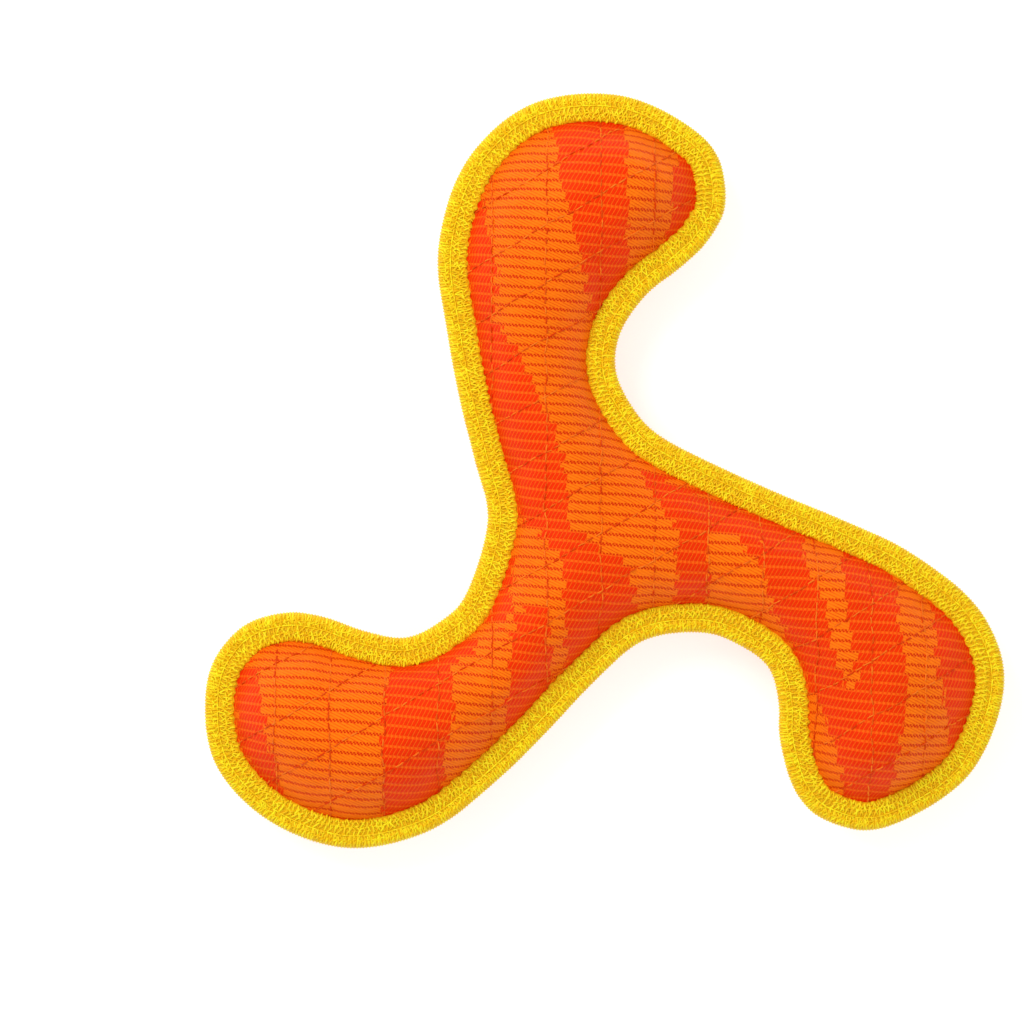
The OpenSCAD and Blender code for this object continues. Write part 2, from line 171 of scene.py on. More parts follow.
class BOOMERANG_PG_colours(bpy.types.PropertyGroup):
    light_cloth: colour("Light cloth", "Colour of the plain woven rows", 255, 120, 12)
    twill_line: colour("Twill line", "Colour of the fine lines in the plain rows", 228, 58, 0)
    red_cloth: colour("Red cloth", "Colour of the dashes in the red stripes", 238, 44, 0)
    row_line: colour("Row line", "Colour of the dotted line between plain rows", 212, 36, 0)
    red_gap: colour("Red gap", "Colour of the yarn between the red dashes", 252, 100, 14)
    # The tape's golden ground, made darker than its own colour to paint the shade between the yarns: partly real
    # colour, partly painted shade.
    tape: colour("Tape", "Colour of the tape's ground", 214, 142, 0)
    # The yarn colour and the yarn shade below are a lit and a shaded copy of one yarn colour, mixed at random per
    # stitch: painted light and shade.
    yarn: colour("Yarn", "Colour of the tape's ribs and stitches", 255, 238, 24)
    yarn_painted_shade: colour("Yarn painted shade", "Darker colour of the same yarn", 248, 200, 2)
    quilting: colour("Quilting thread", "Colour of the quilting thread", 218, 56, 4)
    # Painted highlight: a lighter copy of the quilting thread's colour, mixed in at random per stitch as glints.
    quilting_painted_glint: colour("Quilting painted glint", "Lighter colour of the same thread", 248, 126, 34)
    lining: colour("Lining", "Colour of the lining", 226, 220, 205)
    # Painted shade between the lining's threads: a darker copy of the lining colour.
    lining_painted_gap_shade: colour("Lining painted gap shade", "Colour between the lining's threads", 186, 178, 160)
    stuffing: colour("Stuffing", "Colour of the stuffing fibre", 240, 240, 236)
    pouch: colour("Pouch", "Colour of the squeaker's pouch", 232, 232, 226)
    # Painted shade between the pouch's threads: a darker copy of the pouch colour.
    pouch_painted_gap_shade: colour("Pouch painted gap shade", "Colour between the pouch's threads", 188, 188, 180)
    bladder: colour("Bladder", "Colour of the squeaker's bladder", 236, 234, 226)
    plug: colour("Plug", "Colour of the squeaker's plug", 214, 80, 50)
    cap: colour("Cap", "Colour of the squeaker's cap", 236, 150, 50)
    reed: colour("Reed", "Colour of the squeaker's reed", 206, 210, 214)


def sizes():
    return bpy.context.scene.boomerang_sizes


def tape_sizes():
    return bpy.context.scene.boomerang_tape


def colours():
    return bpy.context.scene.boomerang_colours


# ---------------------------------------------------------------- node trees

class Graph:
    """Adds and links the nodes of one tree."""

    def __init__(self, tree):
        self.tree = tree

    def put(self, socket, value):
        if isinstance(value, bpy.types.NodeSocket):
            self.tree.links.new(value, socket)
        else:
            socket.default_value = value

    def add(self, kind, values=None, **settings):
        node = self.tree.nodes.new(kind)
        for name, value in settings.items():
            setattr(node, name, value)
        for key, value in (values or {}).items():
            self.put(node.inputs[key], value)
        return node

    def math(self, operation, *values, clamp=False):
        node = self.add("ShaderNodeMath", dict(enumerate(values)), operation=operation)
        node.use_clamp = clamp
        return node.outputs[0]

    def vector(self, operation, *values):
        node = self.add("ShaderNodeVectorMath", dict(enumerate(values)), operation=operation)
        return node.outputs["Value" if operation in ("DOT_PRODUCT", "LENGTH", "DISTANCE") else "Vector"]

    def ramp(self, value, low, high):
        """0 below low, 1 above high, and smooth between; low may be the greater."""
        falls = low > high
        return self.add("ShaderNodeMapRange", {
            "Value": value, "From Min": min(low, high), "From Max": max(low, high),
            "To Min": float(falls), "To Max": float(not falls)},
            interpolation_type="SMOOTHSTEP").outputs["Result"]

    def mix(self, share, first, second, blend="MIX"):
        node = self.add("ShaderNodeMix", data_type="RGBA", blend_type=blend)
        for index, value in ((0, share), (6, first), (7, second)):
            self.put(node.inputs[index], value)
        return node.outputs[2]

    def noise(self, place, scale, detail=2.0):
        node = self.add("ShaderNodeTexNoise", {"Vector": place, "Scale": scale, "Detail": detail})
        return node.outputs["Fac"]

    def parts(self, vector):
        return self.add("ShaderNodeSeparateXYZ", {0: vector}).outputs

    def combined(self, *numbers):
        return self.add("ShaderNodeCombineXYZ", dict(enumerate(numbers))).outputs[0]

    def blend(self, share, first, second):
        """Mix of two numbers."""
        values = {0: share, 2: first, 3: second}
        return self.add("ShaderNodeMix", values, data_type="FLOAT").outputs[0]

    def brightened(self, tint, level):
        return self.mix(1.0, tint, self.combined(level, level, level), "MULTIPLY")

    def group(self, tree, values):
        node = self.add("ShaderNodeGroup", node_tree=tree)
        for name, value in values.items():
            self.put(node.inputs[name], value)
        return node


def shader_group(name, inputs, outputs):
    """A new node group, with the graph that fills it, its inputs and its output node.

    Sockets are given as lists of names for each kind, Vector, Float or Color."""
    tree = bpy.data.node_groups.new(name, "ShaderNodeTree")
    for way, sockets in (("INPUT", inputs), ("OUTPUT", outputs)):
        for kind, labels in sockets.items():
            for label in labels:
                tree.interface.new_socket(
                    name=label, in_out=way, socket_type="NodeSocket" + kind)
    graph = Graph(tree)
    return graph, graph.add("NodeGroupInput").outputs, graph.add("NodeGroupOutput").inputs


def kept_group(name, build):
    return bpy.data.node_groups.get(name) or build(name)


def stripe_group(name):
    """One tapered stripe. The place's third number is 1 where this stripe or one before it runs."""
    g, given, out = shader_group(name, {
        "Vector": ["Place", "Start", "End"], "Float": ["Start Width", "End Width"]},
        {"Vector": ["Place"]})
    before = g.parts(given["Place"])
    flat = g.combined(before[0], before[1])
    run = g.vector("SUBTRACT", given["End"], given["Start"])
    reach = g.vector("SUBTRACT", flat, given["Start"])
    share = g.math("DIVIDE", g.vector("DOT_PRODUCT", reach, run),
                   g.vector("DOT_PRODUCT", run, run), clamp=True)
    scaled = g.add("ShaderNodeVectorMath", {0: run, "Scale": share}, operation="SCALE").outputs[0]
    away = g.vector("LENGTH", g.vector("SUBTRACT", reach, scaled))
    taper = g.math("SUBTRACT", given["End Width"], given["Start Width"])
    width = g.math("MULTIPLY_ADD", share, taper, given["Start Width"])
    striped = g.math("MAXIMUM", before[2], g.math("LESS_THAN", away, width))
    g.put(out["Place"], g.combined(before[0], before[1], striped))
    return g.tree


def weave_place_group(name):
    """Where a point counts as lying, so that stripes step from row to row and dash to dash."""
    g, given, out = shader_group(name, {
        "Vector": ["Cloth", "Place"], "Float": ["Row Pitch", "Dash Pitch"]},
        {"Vector": ["Place"]})
    cloth, place = g.parts(given["Cloth"]), g.parts(given["Place"])
    steps = []
    for axis, pitch in ((0, given["Dash Pitch"]), (1, given["Row Pitch"])):
        count = g.math("DIVIDE", cloth[axis], pitch)
        off = g.math("SUBTRACT", g.math("FRACT", count), 0.5)
        steps.append(g.math("SUBTRACT", place[axis], g.math("MULTIPLY", off, pitch)))
    row = g.math("FLOOR", g.math("DIVIDE", cloth[1], given["Row Pitch"]))
    jog = g.add("ShaderNodeTexWhiteNoise", {"W": row}, noise_dimensions="1D").outputs["Value"]
    furthest = g.math("MULTIPLY", given["Dash Pitch"], 1.4)
    ragged = g.math("MULTIPLY", g.math("SUBTRACT", jog, 0.5), furthest)
    g.put(out["Place"], g.combined(g.math("ADD", steps[0], ragged), steps[1], 0.0))
    return g.tree


def jacquard_group(name):
    """Woven rows: plain twilled ones, and red dashes where a stripe runs."""
    g, given, out = shader_group(name, {
        "Vector": ["Cloth"], "Float": ["Stripes", "Row Pitch", "Dash Pitch", "Twill Pitch"],
        "Color": ["Light", "Twill Line", "Row Line", "Red", "Red Gap"]},
        {"Color": ["Color"], "Float": ["Height"]})
    cloth = g.parts(given["Cloth"])
    along = g.math("DIVIDE", cloth[0], given["Dash Pitch"])
    across = g.math("DIVIDE", cloth[1], given["Row Pitch"])
    rise = g.math("FRACT", across)
    row = g.math("FLOOR", across)
    from_edge = g.math("MINIMUM", rise, g.math("SUBTRACT", 1.0, rise))
    groove = g.ramp(from_edge, 0.15, 0.03)
    # Plain rows: slanting twill lines, and a dotted line where two rows meet
    slope = g.math("MULTIPLY_ADD", cloth[1], 0.88, g.math("MULTIPLY", cloth[0], 0.47))
    twill = g.ramp(g.math("PINGPONG", g.math("DIVIDE", slope, given["Twill Pitch"]), 0.5), 0.24, 0.06)
    dots = g.math("MULTIPLY", g.math("MULTIPLY_ADD", row, 0.31, along), 1.25)
    dot = g.ramp(g.math("PINGPONG", dots, 0.5), 0.17, 0.27)
    dot = g.math("MULTIPLY_ADD", dot, 0.9, 0.1)
    dotted = g.math("MULTIPLY", g.ramp(from_edge, 0.12, 0.06), dot)
    uneven = g.noise(given["Cloth"], 130.0, 2.0)
    faint = g.math("MULTIPLY", twill, g.ramp(uneven, 0.15, 0.6))
    plain = g.mix(g.math("MULTIPLY", faint, 0.7), given["Light"], given["Twill Line"])
    plain = g.mix(dotted, plain, given["Row Line"])
    # Red rows: leaning dashes with lighter yarn between them
    leaning = g.math("SUBTRACT", g.math("MULTIPLY_ADD", row, 0.37, along),
                     g.math("MULTIPLY", rise, 0.85))
    dash = g.ramp(g.math("PINGPONG", leaning, 0.5), 0.05, 0.13)
    body = g.ramp(from_edge, 0.04, 0.1)
    returning = g.math("ADD", along, g.math("MULTIPLY", from_edge, 2.2))
    back_dash = g.ramp(g.math("PINGPONG", returning, 0.5), 0.22, 0.34)
    back_dash = g.math("MULTIPLY", back_dash, 0.6)
    red = g.math("MAXIMUM", g.math("MULTIPLY", dash, body), g.math("MULTIPLY", back_dash, groove))
    striped = g.mix(red, given["Red Gap"], given["Red"])
    sunk = g.math("MAXIMUM", g.math("MULTIPLY", dotted, 0.5), g.math("MULTIPLY", twill, 0.4))
    plain_height = g.math("SUBTRACT", 1.0, sunk)
    red_height = g.math("MULTIPLY_ADD", red, 0.5, 0.3)
    g.put(out["Color"], g.mix(given["Stripes"], plain, striped))
    g.put(out["Height"], g.blend(given["Stripes"], plain_height, red_height))
    return g.tree


def fibre_group(name):
    """Broad and fine random changes of brightness, and a fine height for the fibres."""
    g, given, out = shader_group(name, {
        "Vector": ["Place"], "Float": ["Broad", "Fine", "Strength"], "Color": ["Color"]},
        {"Color": ["Color"], "Float": ["Height"]})
    broad = g.noise(given["Place"], given["Broad"], 3.0)
    fine = g.noise(given["Place"], given["Fine"], 1.0)
    both = g.math("MULTIPLY_ADD", fine, 0.6, g.math("MULTIPLY", broad, 0.4))
    change = g.math("MULTIPLY", g.math("SUBTRACT", both, 0.5), g.math("MULTIPLY", given["Strength"], 4.0))
    g.put(out["Color"], g.brightened(given["Color"], g.math("ADD", 1.0, change)))
    g.put(out["Height"], fine)
    return g.tree


def yarn_group(name):
    """Twisted yarn with plies and loose fibres along it; each stitch is painted at random between two copies of
    the thread's colour: a lit and a shaded one on the tape yarn, the thread's colour and a painted glint on the
    quilting thread.
    """
    g, given, out = shader_group(name, {
        "Vector": ["Place"], "Float": ["Own Shade", "Fine"], "Color": ["Light", "Shade"]},
        {"Color": ["Color"], "Float": ["Height"]})
    patch = g.noise(given["Place"], 420.0, 2.0)
    fine = g.noise(given["Place"], given["Fine"], 1.0)
    share = g.math("MULTIPLY_ADD", given["Own Shade"], 0.6, g.math("MULTIPLY", patch, 0.7))
    # Painted light: a random share per stitch picks between the two copies of the colour, lit and shaded on the
    # tape yarn, thread colour and painted glint on the quilting thread.
    g.put(out["Color"], g.mix(g.ramp(share, 0.35, 0.95), given["Light"], given["Shade"]))
    g.put(out["Height"], fine)
    return g.tree


def plain_weave_group(name):
    """Over-and-under plain weave on two axes of a cloth; the darker gap colour where the threads run low is
    painted shade between them.
    """
    g, given, out = shader_group(name, {
        "Vector": ["Place"], "Float": ["Pitch"], "Color": ["Color", "Gap"]},
        {"Color": ["Color"], "Float": ["Height"]})
    place = g.parts(given["Place"])
    x = g.math("DIVIDE", place[0], given["Pitch"])
    y = g.math("DIVIDE", g.math("ADD", place[1], place[2]), given["Pitch"])
    crossing = g.math("ADD", g.math("FLOOR", x), g.math("FLOOR", y))
    over = g.math("GREATER_THAN", g.math("FRACT", g.math("MULTIPLY", crossing, 0.5)), 0.25)
    height = g.blend(over, g.math("PINGPONG", x, 0.5), g.math("PINGPONG", y, 0.5))
    # Painted shade: the gap colour is laid where the threads run low.
    g.put(out["Color"], g.mix(g.ramp(height, 0.02, 0.2), given["Gap"], given["Color"]))
    g.put(out["Height"], height)
    return g.tree


def moulding_group(name):
    """Moulded plastic: a fine grain, faint flow marks and scuffs."""
    g, given, out = shader_group(name, {
        "Vector": ["Place"], "Float": ["Grain"], "Color": ["Color"]},
        {"Color": ["Color"], "Float": ["Roughness", "Height"]})
    flow = g.noise(given["Place"], 70.0, 3.0)
    grain = g.noise(given["Place"], given["Grain"], 2.0)
    g.put(out["Color"], g.brightened(given["Color"], g.math("MULTIPLY_ADD", flow, 0.16, 0.92)))
    g.put(out["Roughness"], g.math("MULTIPLY_ADD", flow, 0.25, 0.28))
    g.put(out["Height"], grain)
    return g.tree


def new_material(name):
    """A new material, its graph and its shader."""
    material = bpy.data.materials.new(name)
    material.use_nodes = True
    graph = Graph(material.node_tree)
    return material, graph, material.node_tree.nodes["Principled BSDF"]


def finish_material(graph, shader, base, height, bump, roughness, **fixed):
    """Link colour and bump, and set what is the same all over on the shader itself."""
    graph.put(shader.inputs["Base Color"], base)
    graph.put(shader.inputs["Roughness"], roughness)
    relief = graph.add("ShaderNodeBump", {"Height": height, "Distance": bump, "Strength": 1.0})
    graph.put(shader.inputs["Normal"], relief.outputs[0])
    for name, value in fixed.items():
        shader.inputs[name.replace("_", " ")].default_value = value


def object_place(graph):
    return graph.add("ShaderNodeTexCoord").outputs["Object"]


def cover_material(name, stripes):
    """The jacquard cloth of a cover, with its own red stripes."""
    material, g, shader = new_material(name)
    size, tint = sizes(), colours()
    cloth = g.add("ShaderNodeUVMap", uv_map="cloth").outputs[0]
    place = g.group(kept_group("Weave place", weave_place_group), {
        "Cloth": cloth, "Place": object_place(g), "Row Pitch": size.row_pitch,
        "Dash Pitch": size.dash_pitch}).outputs[0]
    for start, end, start_width, end_width in stripes:
        place = g.group(kept_group("Cloth stripe", stripe_group), {
            "Place": place,
            "Start": (HUB.x + start[0] * MM, HUB.y + start[1] * MM, 0),
            "End": (HUB.x + end[0] * MM, HUB.y + end[1] * MM, 0),
            "Start Width": start_width * MM, "End Width": end_width * MM}).outputs[0]
    rows = g.group(kept_group("Jacquard rows", jacquard_group), {
        "Cloth": cloth, "Stripes": g.parts(place)[2], "Row Pitch": size.row_pitch,
        "Dash Pitch": size.dash_pitch, "Twill Pitch": size.twill_pitch,
        "Light": tint.light_cloth, "Twill Line": tint.twill_line,
        "Row Line": tint.row_line, "Red": tint.red_cloth, "Red Gap": tint.red_gap})
    fibre = g.group(kept_group("Fibre variation", fibre_group), {
        "Place": object_place(g), "Color": rows.outputs["Color"], "Strength": 0.15,
        "Broad": 35.0, "Fine": 2200.0})
    height = g.math("MULTIPLY_ADD", fibre.outputs["Height"], 0.25, rows.outputs["Height"])
    finish_material(g, shader, fibre.outputs["Color"], height, 0.18 * MM, 0.52,
                    Specular_IOR_Level=0.3, Specular_Tint=CLOTH_GLOSS)
    return material


def yarn_material(name, light, shade, gloss, roughness=0.5, fine=1500.0):
    """Sewing thread or tape yarn; each stitch gets a random mix of two copies of its colour: painted light and
    shade on the tape yarn, a painted glint on the quilting thread.
    """
    material, g, shader = new_material(name)
    own = g.add("ShaderNodeAttribute", attribute_name="shade").outputs["Fac"]
    yarn = g.group(kept_group("Twisted yarn", yarn_group), {
        "Place": object_place(g), "Own Shade": own, "Light": light, "Shade": shade, "Fine": fine})
    finish_material(g, shader, yarn.outputs["Color"], yarn.outputs["Height"], 0.12 * MM, roughness,
                    Specular_IOR_Level=0.45, Specular_Tint=gloss)
    return material


def tape_material():
    """The tape's ground: ribbed golden weave between the yarns, its threads in the yarn's painted shade and its
    gaps in the darker ground colour, which paints the shade between the yarns.
    """
    material, g, shader = new_material("binding_tape_weave")
    tint = colours()
    track = g.add("ShaderNodeUVMap", uv_map="tape").outputs[0]
    # Threads in the yarn's painted shade copy, gaps in the ground colour darkened as painted shade.
    weave = g.group(kept_group("Plain weave", plain_weave_group), {
        "Place": track, "Pitch": 0.62 * MM, "Color": tint.yarn_painted_shade, "Gap": tint.tape})
    fibre = g.group(kept_group("Fibre variation", fibre_group), {
        "Place": object_place(g), "Color": weave.outputs["Color"], "Strength": 0.16,
        "Broad": 160.0, "Fine": 1400.0})
    height = g.math("ADD", weave.outputs["Height"], fibre.outputs["Height"])
    finish_material(g, shader, fibre.outputs["Color"], height, 0.2 * MM, 0.62,
                    Specular_IOR_Level=0.2)
    return material


def plain_cloth_material(name, tint, gap, pitch):
    """A plain woven cloth, for the linings and the pouches; its gap colour is painted shade between the threads.
    """
    material, g, shader = new_material(name)
    weave = g.group(kept_group("Plain weave", plain_weave_group), {
        "Place": object_place(g), "Pitch": pitch, "Color": tint, "Gap": gap})
    fibre = g.group(kept_group("Fibre variation", fibre_group), {
        "Place": object_place(g), "Color": weave.outputs["Color"], "Strength": 0.1,
        "Broad": 40.0, "Fine": 2600.0})
    finish_material(g, shader, fibre.outputs["Color"], weave.outputs["Height"], 0.1 * MM, 0.85,
                    Sheen_Weight=0.1)
    return material


def stuffing_material():
    """Loose crimped polyester fibre."""
    material, g, shader = new_material("stuffing_fibre")
    place = object_place(g)
    wave = g.add("ShaderNodeTexWave", {
        "Vector": place, "Scale": 160.0, "Distortion": 14.0, "Detail": 3.0, "Detail Scale": 2.0})
    fibre = g.group(kept_group("Fibre variation", fibre_group), {
        "Place": place, "Color": colours().stuffing, "Strength": 0.08, "Broad": 90.0, "Fine": 900.0})
    height = g.math("ADD", wave.outputs["Fac"], fibre.outputs["Height"])
    finish_material(g, shader, fibre.outputs["Color"], height, 0.5 * MM, 0.9,
                    Sheen_Weight=0.3, Subsurface_Weight=0.1)
    return material


def plastic_material(name, tint, bump, rougher, **fixed):
    """Moulded plastic of a squeaker's part."""
    material, g, shader = new_material(name)
    moulded = g.group(kept_group("Moulded plastic", moulding_group), {
        "Place": object_place(g), "Color": tint, "Grain": 900.0})
    rough = g.math("ADD", moulded.outputs["Roughness"], rougher)
    finish_material(g, shader, moulded.outputs["Color"], moulded.outputs["Height"],
                    bump * MM, rough, **fixed)
    return material


# ---------------------------------------------------------------- shapes

def vertices_of(mesh):
    co = np.empty(len(mesh.vertices) * 3)
    mesh.vertices.foreach_get("co", co)
    return co.reshape(-1, 3)


def corners_of(mesh):
    """The vertex at each face corner."""
    corners = np.empty(len(mesh.loops), int)
    mesh.loops.foreach_get("vertex_index", corners)
    return corners


def cad_mesh(node):
    """Vertices and triangles of a CAD node, with its loose corners merged."""
    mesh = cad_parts[node].data
    co = vertices_of(mesh)
    _, first, same = np.unique(np.round(co / (0.01 * MM)).astype(int), axis=0,
                               return_index=True, return_inverse=True)
    triangles = same.reshape(-1)[corners_of(mesh)].reshape(-1, 3)
    whole = (triangles != np.roll(triangles, 1, axis=1)).all(1)
    return co[first], triangles[whole]


def cross(a, b):
    """Across product of flat vectors."""
    return a[..., 0] * b[..., 1] - a[..., 1] * b[..., 0]


def loop_area(points):
    """Area inside a closed line, below zero where it runs clockwise."""
    return float(cross(points, np.roll(points, -1, axis=0)).sum() / 2)


def beside_sum(edges, values, count):
    """For each point, the sum of the values at the points that its edges lead to."""
    i, j = edges.T
    return np.bincount(i, values[j], count) + np.bincount(j, values[i], count)


def edge_count(edges, count):
    return np.bincount(edges.reshape(-1), minlength=count)


def band(first, second):
    """Quads between two closed rows of points, given by their numbers."""
    return np.column_stack([first, second, np.roll(second, -1), np.roll(first, -1)])


def halved(quads):
    return np.vstack([quads[:, [0, 1, 2]], quads[:, [0, 2, 3]]])


def turned_over(co):
    """Points of the front as their like on the back."""
    return co * (1, 1, -1) + (0, 0, 2 * SEAM_Z)


def smooth_closed(points, count):
    """The closed curve through points, at even distances along it."""
    before, after, beyond = (np.roll(points, n, axis=0) for n in (1, -1, -2))
    steps = 16
    parts = []
    for t in np.arange(steps) / steps:
        parts.append((2 * points + (after - before) * t
                      + (2 * before - 5 * points + 4 * after - beyond) * t ** 2
                      + (3 * points - before - 3 * after + beyond) * t ** 3) / 2)
    dense = np.stack(parts, axis=1).reshape(-1, 2)
    closed = np.vstack([dense, dense[:1]])
    travelled = np.concatenate([[0], np.cumsum(np.linalg.norm(np.diff(closed, axis=0), axis=1))])
    wanted = np.linspace(0, travelled[-1], count, endpoint=False)
    return np.column_stack([np.interp(wanted, travelled, closed[:, axis]) for axis in (0, 1)])


def fold_line():
    """The toy's outer edge, anticlockwise, from the binding's vertices at the seam's height."""
    co, triangles = cad_mesh("edge_binding")
    level = np.abs(co[:, 2] - SEAM_Z) < 0.05 * MM
    beside = {}
    for triangle in triangles:
        for a, b in zip(triangle, np.roll(triangle, -1)):
            if level[a] and level[b]:
                beside.setdefault(int(a), set()).add(int(b))
                beside.setdefault(int(b), set()).add(int(a))
    start = max(beside, key=lambda i: co[i, 0])
    line, last, here = [start], None, start
    while True:
        onward = [i for i in sorted(beside[here]) if i != last and i not in line[1:]]
        onward = [i for i in onward if i != start or len(line) > 2]
        if not onward or onward[0] == start or len(line) > len(beside):
            break
        last, here = here, onward[0]
        line.append(here)
    if len(line) != len(beside):
        raise RuntimeError("the binding's outer edge isn't one closed line")
    points = co[line][:, :2]
    return points if loop_area(points) > 0 else points[::-1]


EDGE = fold_line()


def edge_points(count, inset):
    """count points along the edge, moved inwards by inset (a number, or one for each point)."""
    points = smooth_closed(EDGE, count)
    along = np.roll(points, -1, axis=0) - np.roll(points, 1, axis=0)
    along /= np.linalg.norm(along, axis=1)[:, None]
    inward = np.column_stack([-along[:, 1], along[:, 0]])
    return points + inward * np.broadcast_to(inset, count)[:, None]


def edge_length():
    points = smooth_closed(EDGE, 2000)
    return float(np.linalg.norm(np.roll(points, -1, axis=0) - points, axis=1).sum())


def inside(points, loop, clear=0.0):
    """Which points lie in the closed loop, and at least clear away from it."""
    found = np.zeros(len(points), bool)
    ahead = np.roll(loop, -1, axis=0)
    for at in range(0, len(points), 4000):
        x, y = points[at:at + 4000, 0:1], points[at:at + 4000, 1:2]
        crosses = (loop[:, 1] > y) != (ahead[:, 1] > y)
        with np.errstate(divide="ignore", invalid="ignore"):
            share = (y - loop[:, 1]) / (ahead[:, 1] - loop[:, 1])
            meets = (ahead[:, 0] - loop[:, 0]) * share + loop[:, 0]
        odd = (crosses & (x < meets)).sum(1) % 2 == 1
        near = ((x - loop[:, 0]) ** 2 + (y - loop[:, 1]) ** 2).min(1)
        found[at:at + 4000] = odd & (near >= clear ** 2)
    return found


def triangulated(loop, points):
    """Triangles of the area inside loop, over loop and points in that order."""
    both = np.vstack([loop, points])
    out = delaunay_2d_cdt([Vector(p) for p in both.tolist()], [], [list(range(len(loop)))], 1, 1e-9)
    place = np.array([tuple(v) for v in out[0]])
    triangles = np.array([f for f in out[2] if len(f) == 3])
    if len(place) != len(both):
        raise RuntimeError("the cloth's outline crosses itself")
    a, b, c = (place[triangles[:, n]] for n in range(3))
    clockwise = cross(b - a, c - a) < 0
    triangles[clockwise] = triangles[clockwise][:, ::-1]
    order = np.array([ids[0] for ids in out[3]])
    return both, order[triangles]


def edges_of(triangles):
    pairs = np.vstack([triangles[:, [0, 1]], triangles[:, [1, 2]], triangles[:, [2, 0]]])
    return np.unique(np.sort(pairs, axis=1), axis=0)


def solved(apply, right, start, steps, close=1e-7):
    """Conjugate gradients for apply(x) = right."""
    x = start.copy()
    rest = right - apply(x)
    way = rest.copy()
    size = rest @ rest
    goal = size * close ** 2 + 1e-30
    for _ in range(steps):
        pushed = apply(way)
        step = size / (way @ pushed)
        x += step * way
        rest -= step * pushed
        fresh = rest @ rest
        if fresh < goal:
            break
        way = rest + way * (fresh / size)
        size = fresh
    return x


def evened(heights, edges, held, stiffness):
    """The heights, bent as little as may be, with the held ones kept."""
    count = len(heights)
    degree = edge_count(edges, count)
    free = ~held
    fixed = np.where(held, heights, 0)

    def stiff(values):
        bent = (beside_sum(edges, values, count) / degree - values) * free
        return stiffness * (beside_sum(edges, bent / degree, count) - bent)

    right = free * (heights - stiff(fixed))
    return fixed + free * solved(lambda values: free * (values + stiff(values)),
                                 right, free * heights, 400)


def laid_flat(co, edges):
    """Where each point lay on the cloth before it was stretched over the stuffing."""
    i, j = edges.T
    step = co[j] - co[i]
    run = np.linalg.norm(step[:, :2], axis=1)
    real = np.linalg.norm(step, axis=1)
    wanted = step[:, :2] * (real / np.maximum(run, 1e-9))[:, None]
    anchor = int(np.argmin(np.linalg.norm(co[:, :2] - np.array(HUB), axis=1)))

    def pulled(pull, anchored):
        out = np.bincount(j, pull, len(co)) - np.bincount(i, pull, len(co))
        out[anchor] += anchored
        return out

    return np.column_stack([
        solved(lambda values: pulled(values[j] - values[i], values[anchor]),
               pulled(wanted[:, axis], co[anchor, axis]), co[:, axis].copy(), 600, 1e-6)
        for axis in (0, 1)])


def new_object(name, data):
    obj = bpy.data.objects.new(name, data)
    bpy.context.scene.collection.objects.link(obj)
    return obj


def mesh_object(name, co, faces, material=None):
    """A new object with its place in its mesh."""
    mesh = bpy.data.meshes.new(name)
    mesh.from_pydata(np.asarray(co).tolist(), [], [list(map(int, f)) for f in faces])
    mesh.validate()
    mesh.shade_smooth()
    if material:
        mesh.materials.append(material)
    return new_object(name, mesh)


def mapped(obj, name, places):
    """Give the object a UV map from each vertex's place."""
    layer = obj.data.uv_layers.new(name=name)
    layer.data.foreach_set("uv", places[corners_of(obj.data)].reshape(-1))


def walled(obj, thickness):
    """The surface made a closed wall, thickened inwards."""
    wall = obj.modifiers.new("wall", "SOLIDIFY")
    wall.thickness = thickness
    wall.offset = -1
    wall.use_even_offset = False
    return baked(obj)


def baked(obj):
    """The object with its modifiers made part of its mesh."""
    bpy.context.view_layer.update()
    whole = bpy.data.meshes.new_from_object(obj.evaluated_get(bpy.context.evaluated_depsgraph_get()))
    obj.modifiers.clear()
    old, obj.data = obj.data, whole
    bpy.data.meshes.remove(old)
    whole.name = obj.name
    return obj


def removed(obj):
    mesh = obj.data
    bpy.data.objects.remove(obj)
    bpy.data.meshes.remove(mesh)


def swollen(name, co, triangles, held, pressure, limit):
    """The cloth blown outwards between the held points by a simulation, by at most limit."""
    obj = mesh_object(name, co, triangles)
    group = obj.vertex_groups.new(name="held")
    group.add([int(i) for i in np.flatnonzero(held)], 1.0, "REPLACE")
    cloth = obj.modifiers.new("swell", "CLOTH")
    settings = cloth.settings
    settings.quality = 6
    settings.mass = 0.02
    settings.tension_stiffness = settings.compression_stiffness = 5
    settings.shear_stiffness = 3
    settings.bending_stiffness = 0.05
    settings.vertex_group_mass = "held"
    settings.use_pressure = True
    settings.uniform_pressure_force = pressure
    settings.effector_weights.gravity = 0
    cloth.collision_settings.use_collision = False
    cloth.point_cache.frame_start, cloth.point_cache.frame_end = 1, SWELL_FRAMES
    scene = bpy.context.scene
    for number in range(1, SWELL_FRAMES + 1):
        scene.frame_set(number)
    evaluated = obj.evaluated_get(bpy.context.evaluated_depsgraph_get())
    moved = vertices_of(evaluated.data) - co
    scene.frame_set(1)
    removed(obj)
    far = np.linalg.norm(moved, axis=1)
    scale = np.minimum(1, limit / np.maximum(far, 1e-9))
    return co + moved * scale[:, None]


def quilted_lattice():
    """A lattice of points over the toy whose every ninth line is a quilting line."""
    size = sizes()
    across, up = size.quilting_across / QUILT_STEPS, size.quilting_up / QUILT_STEPS
    reach = 15 * QUILT_STEPS
    i, j = (grid.reshape(-1) for grid in np.mgrid[-reach:reach + 1, -reach:reach + 1])
    x = i * across
    points = np.column_stack([x, x * QUILT_SLOPE + j * up]) + QUILT_START
    return points, (i % QUILT_STEPS == 0) | (j % QUILT_STEPS == 0)


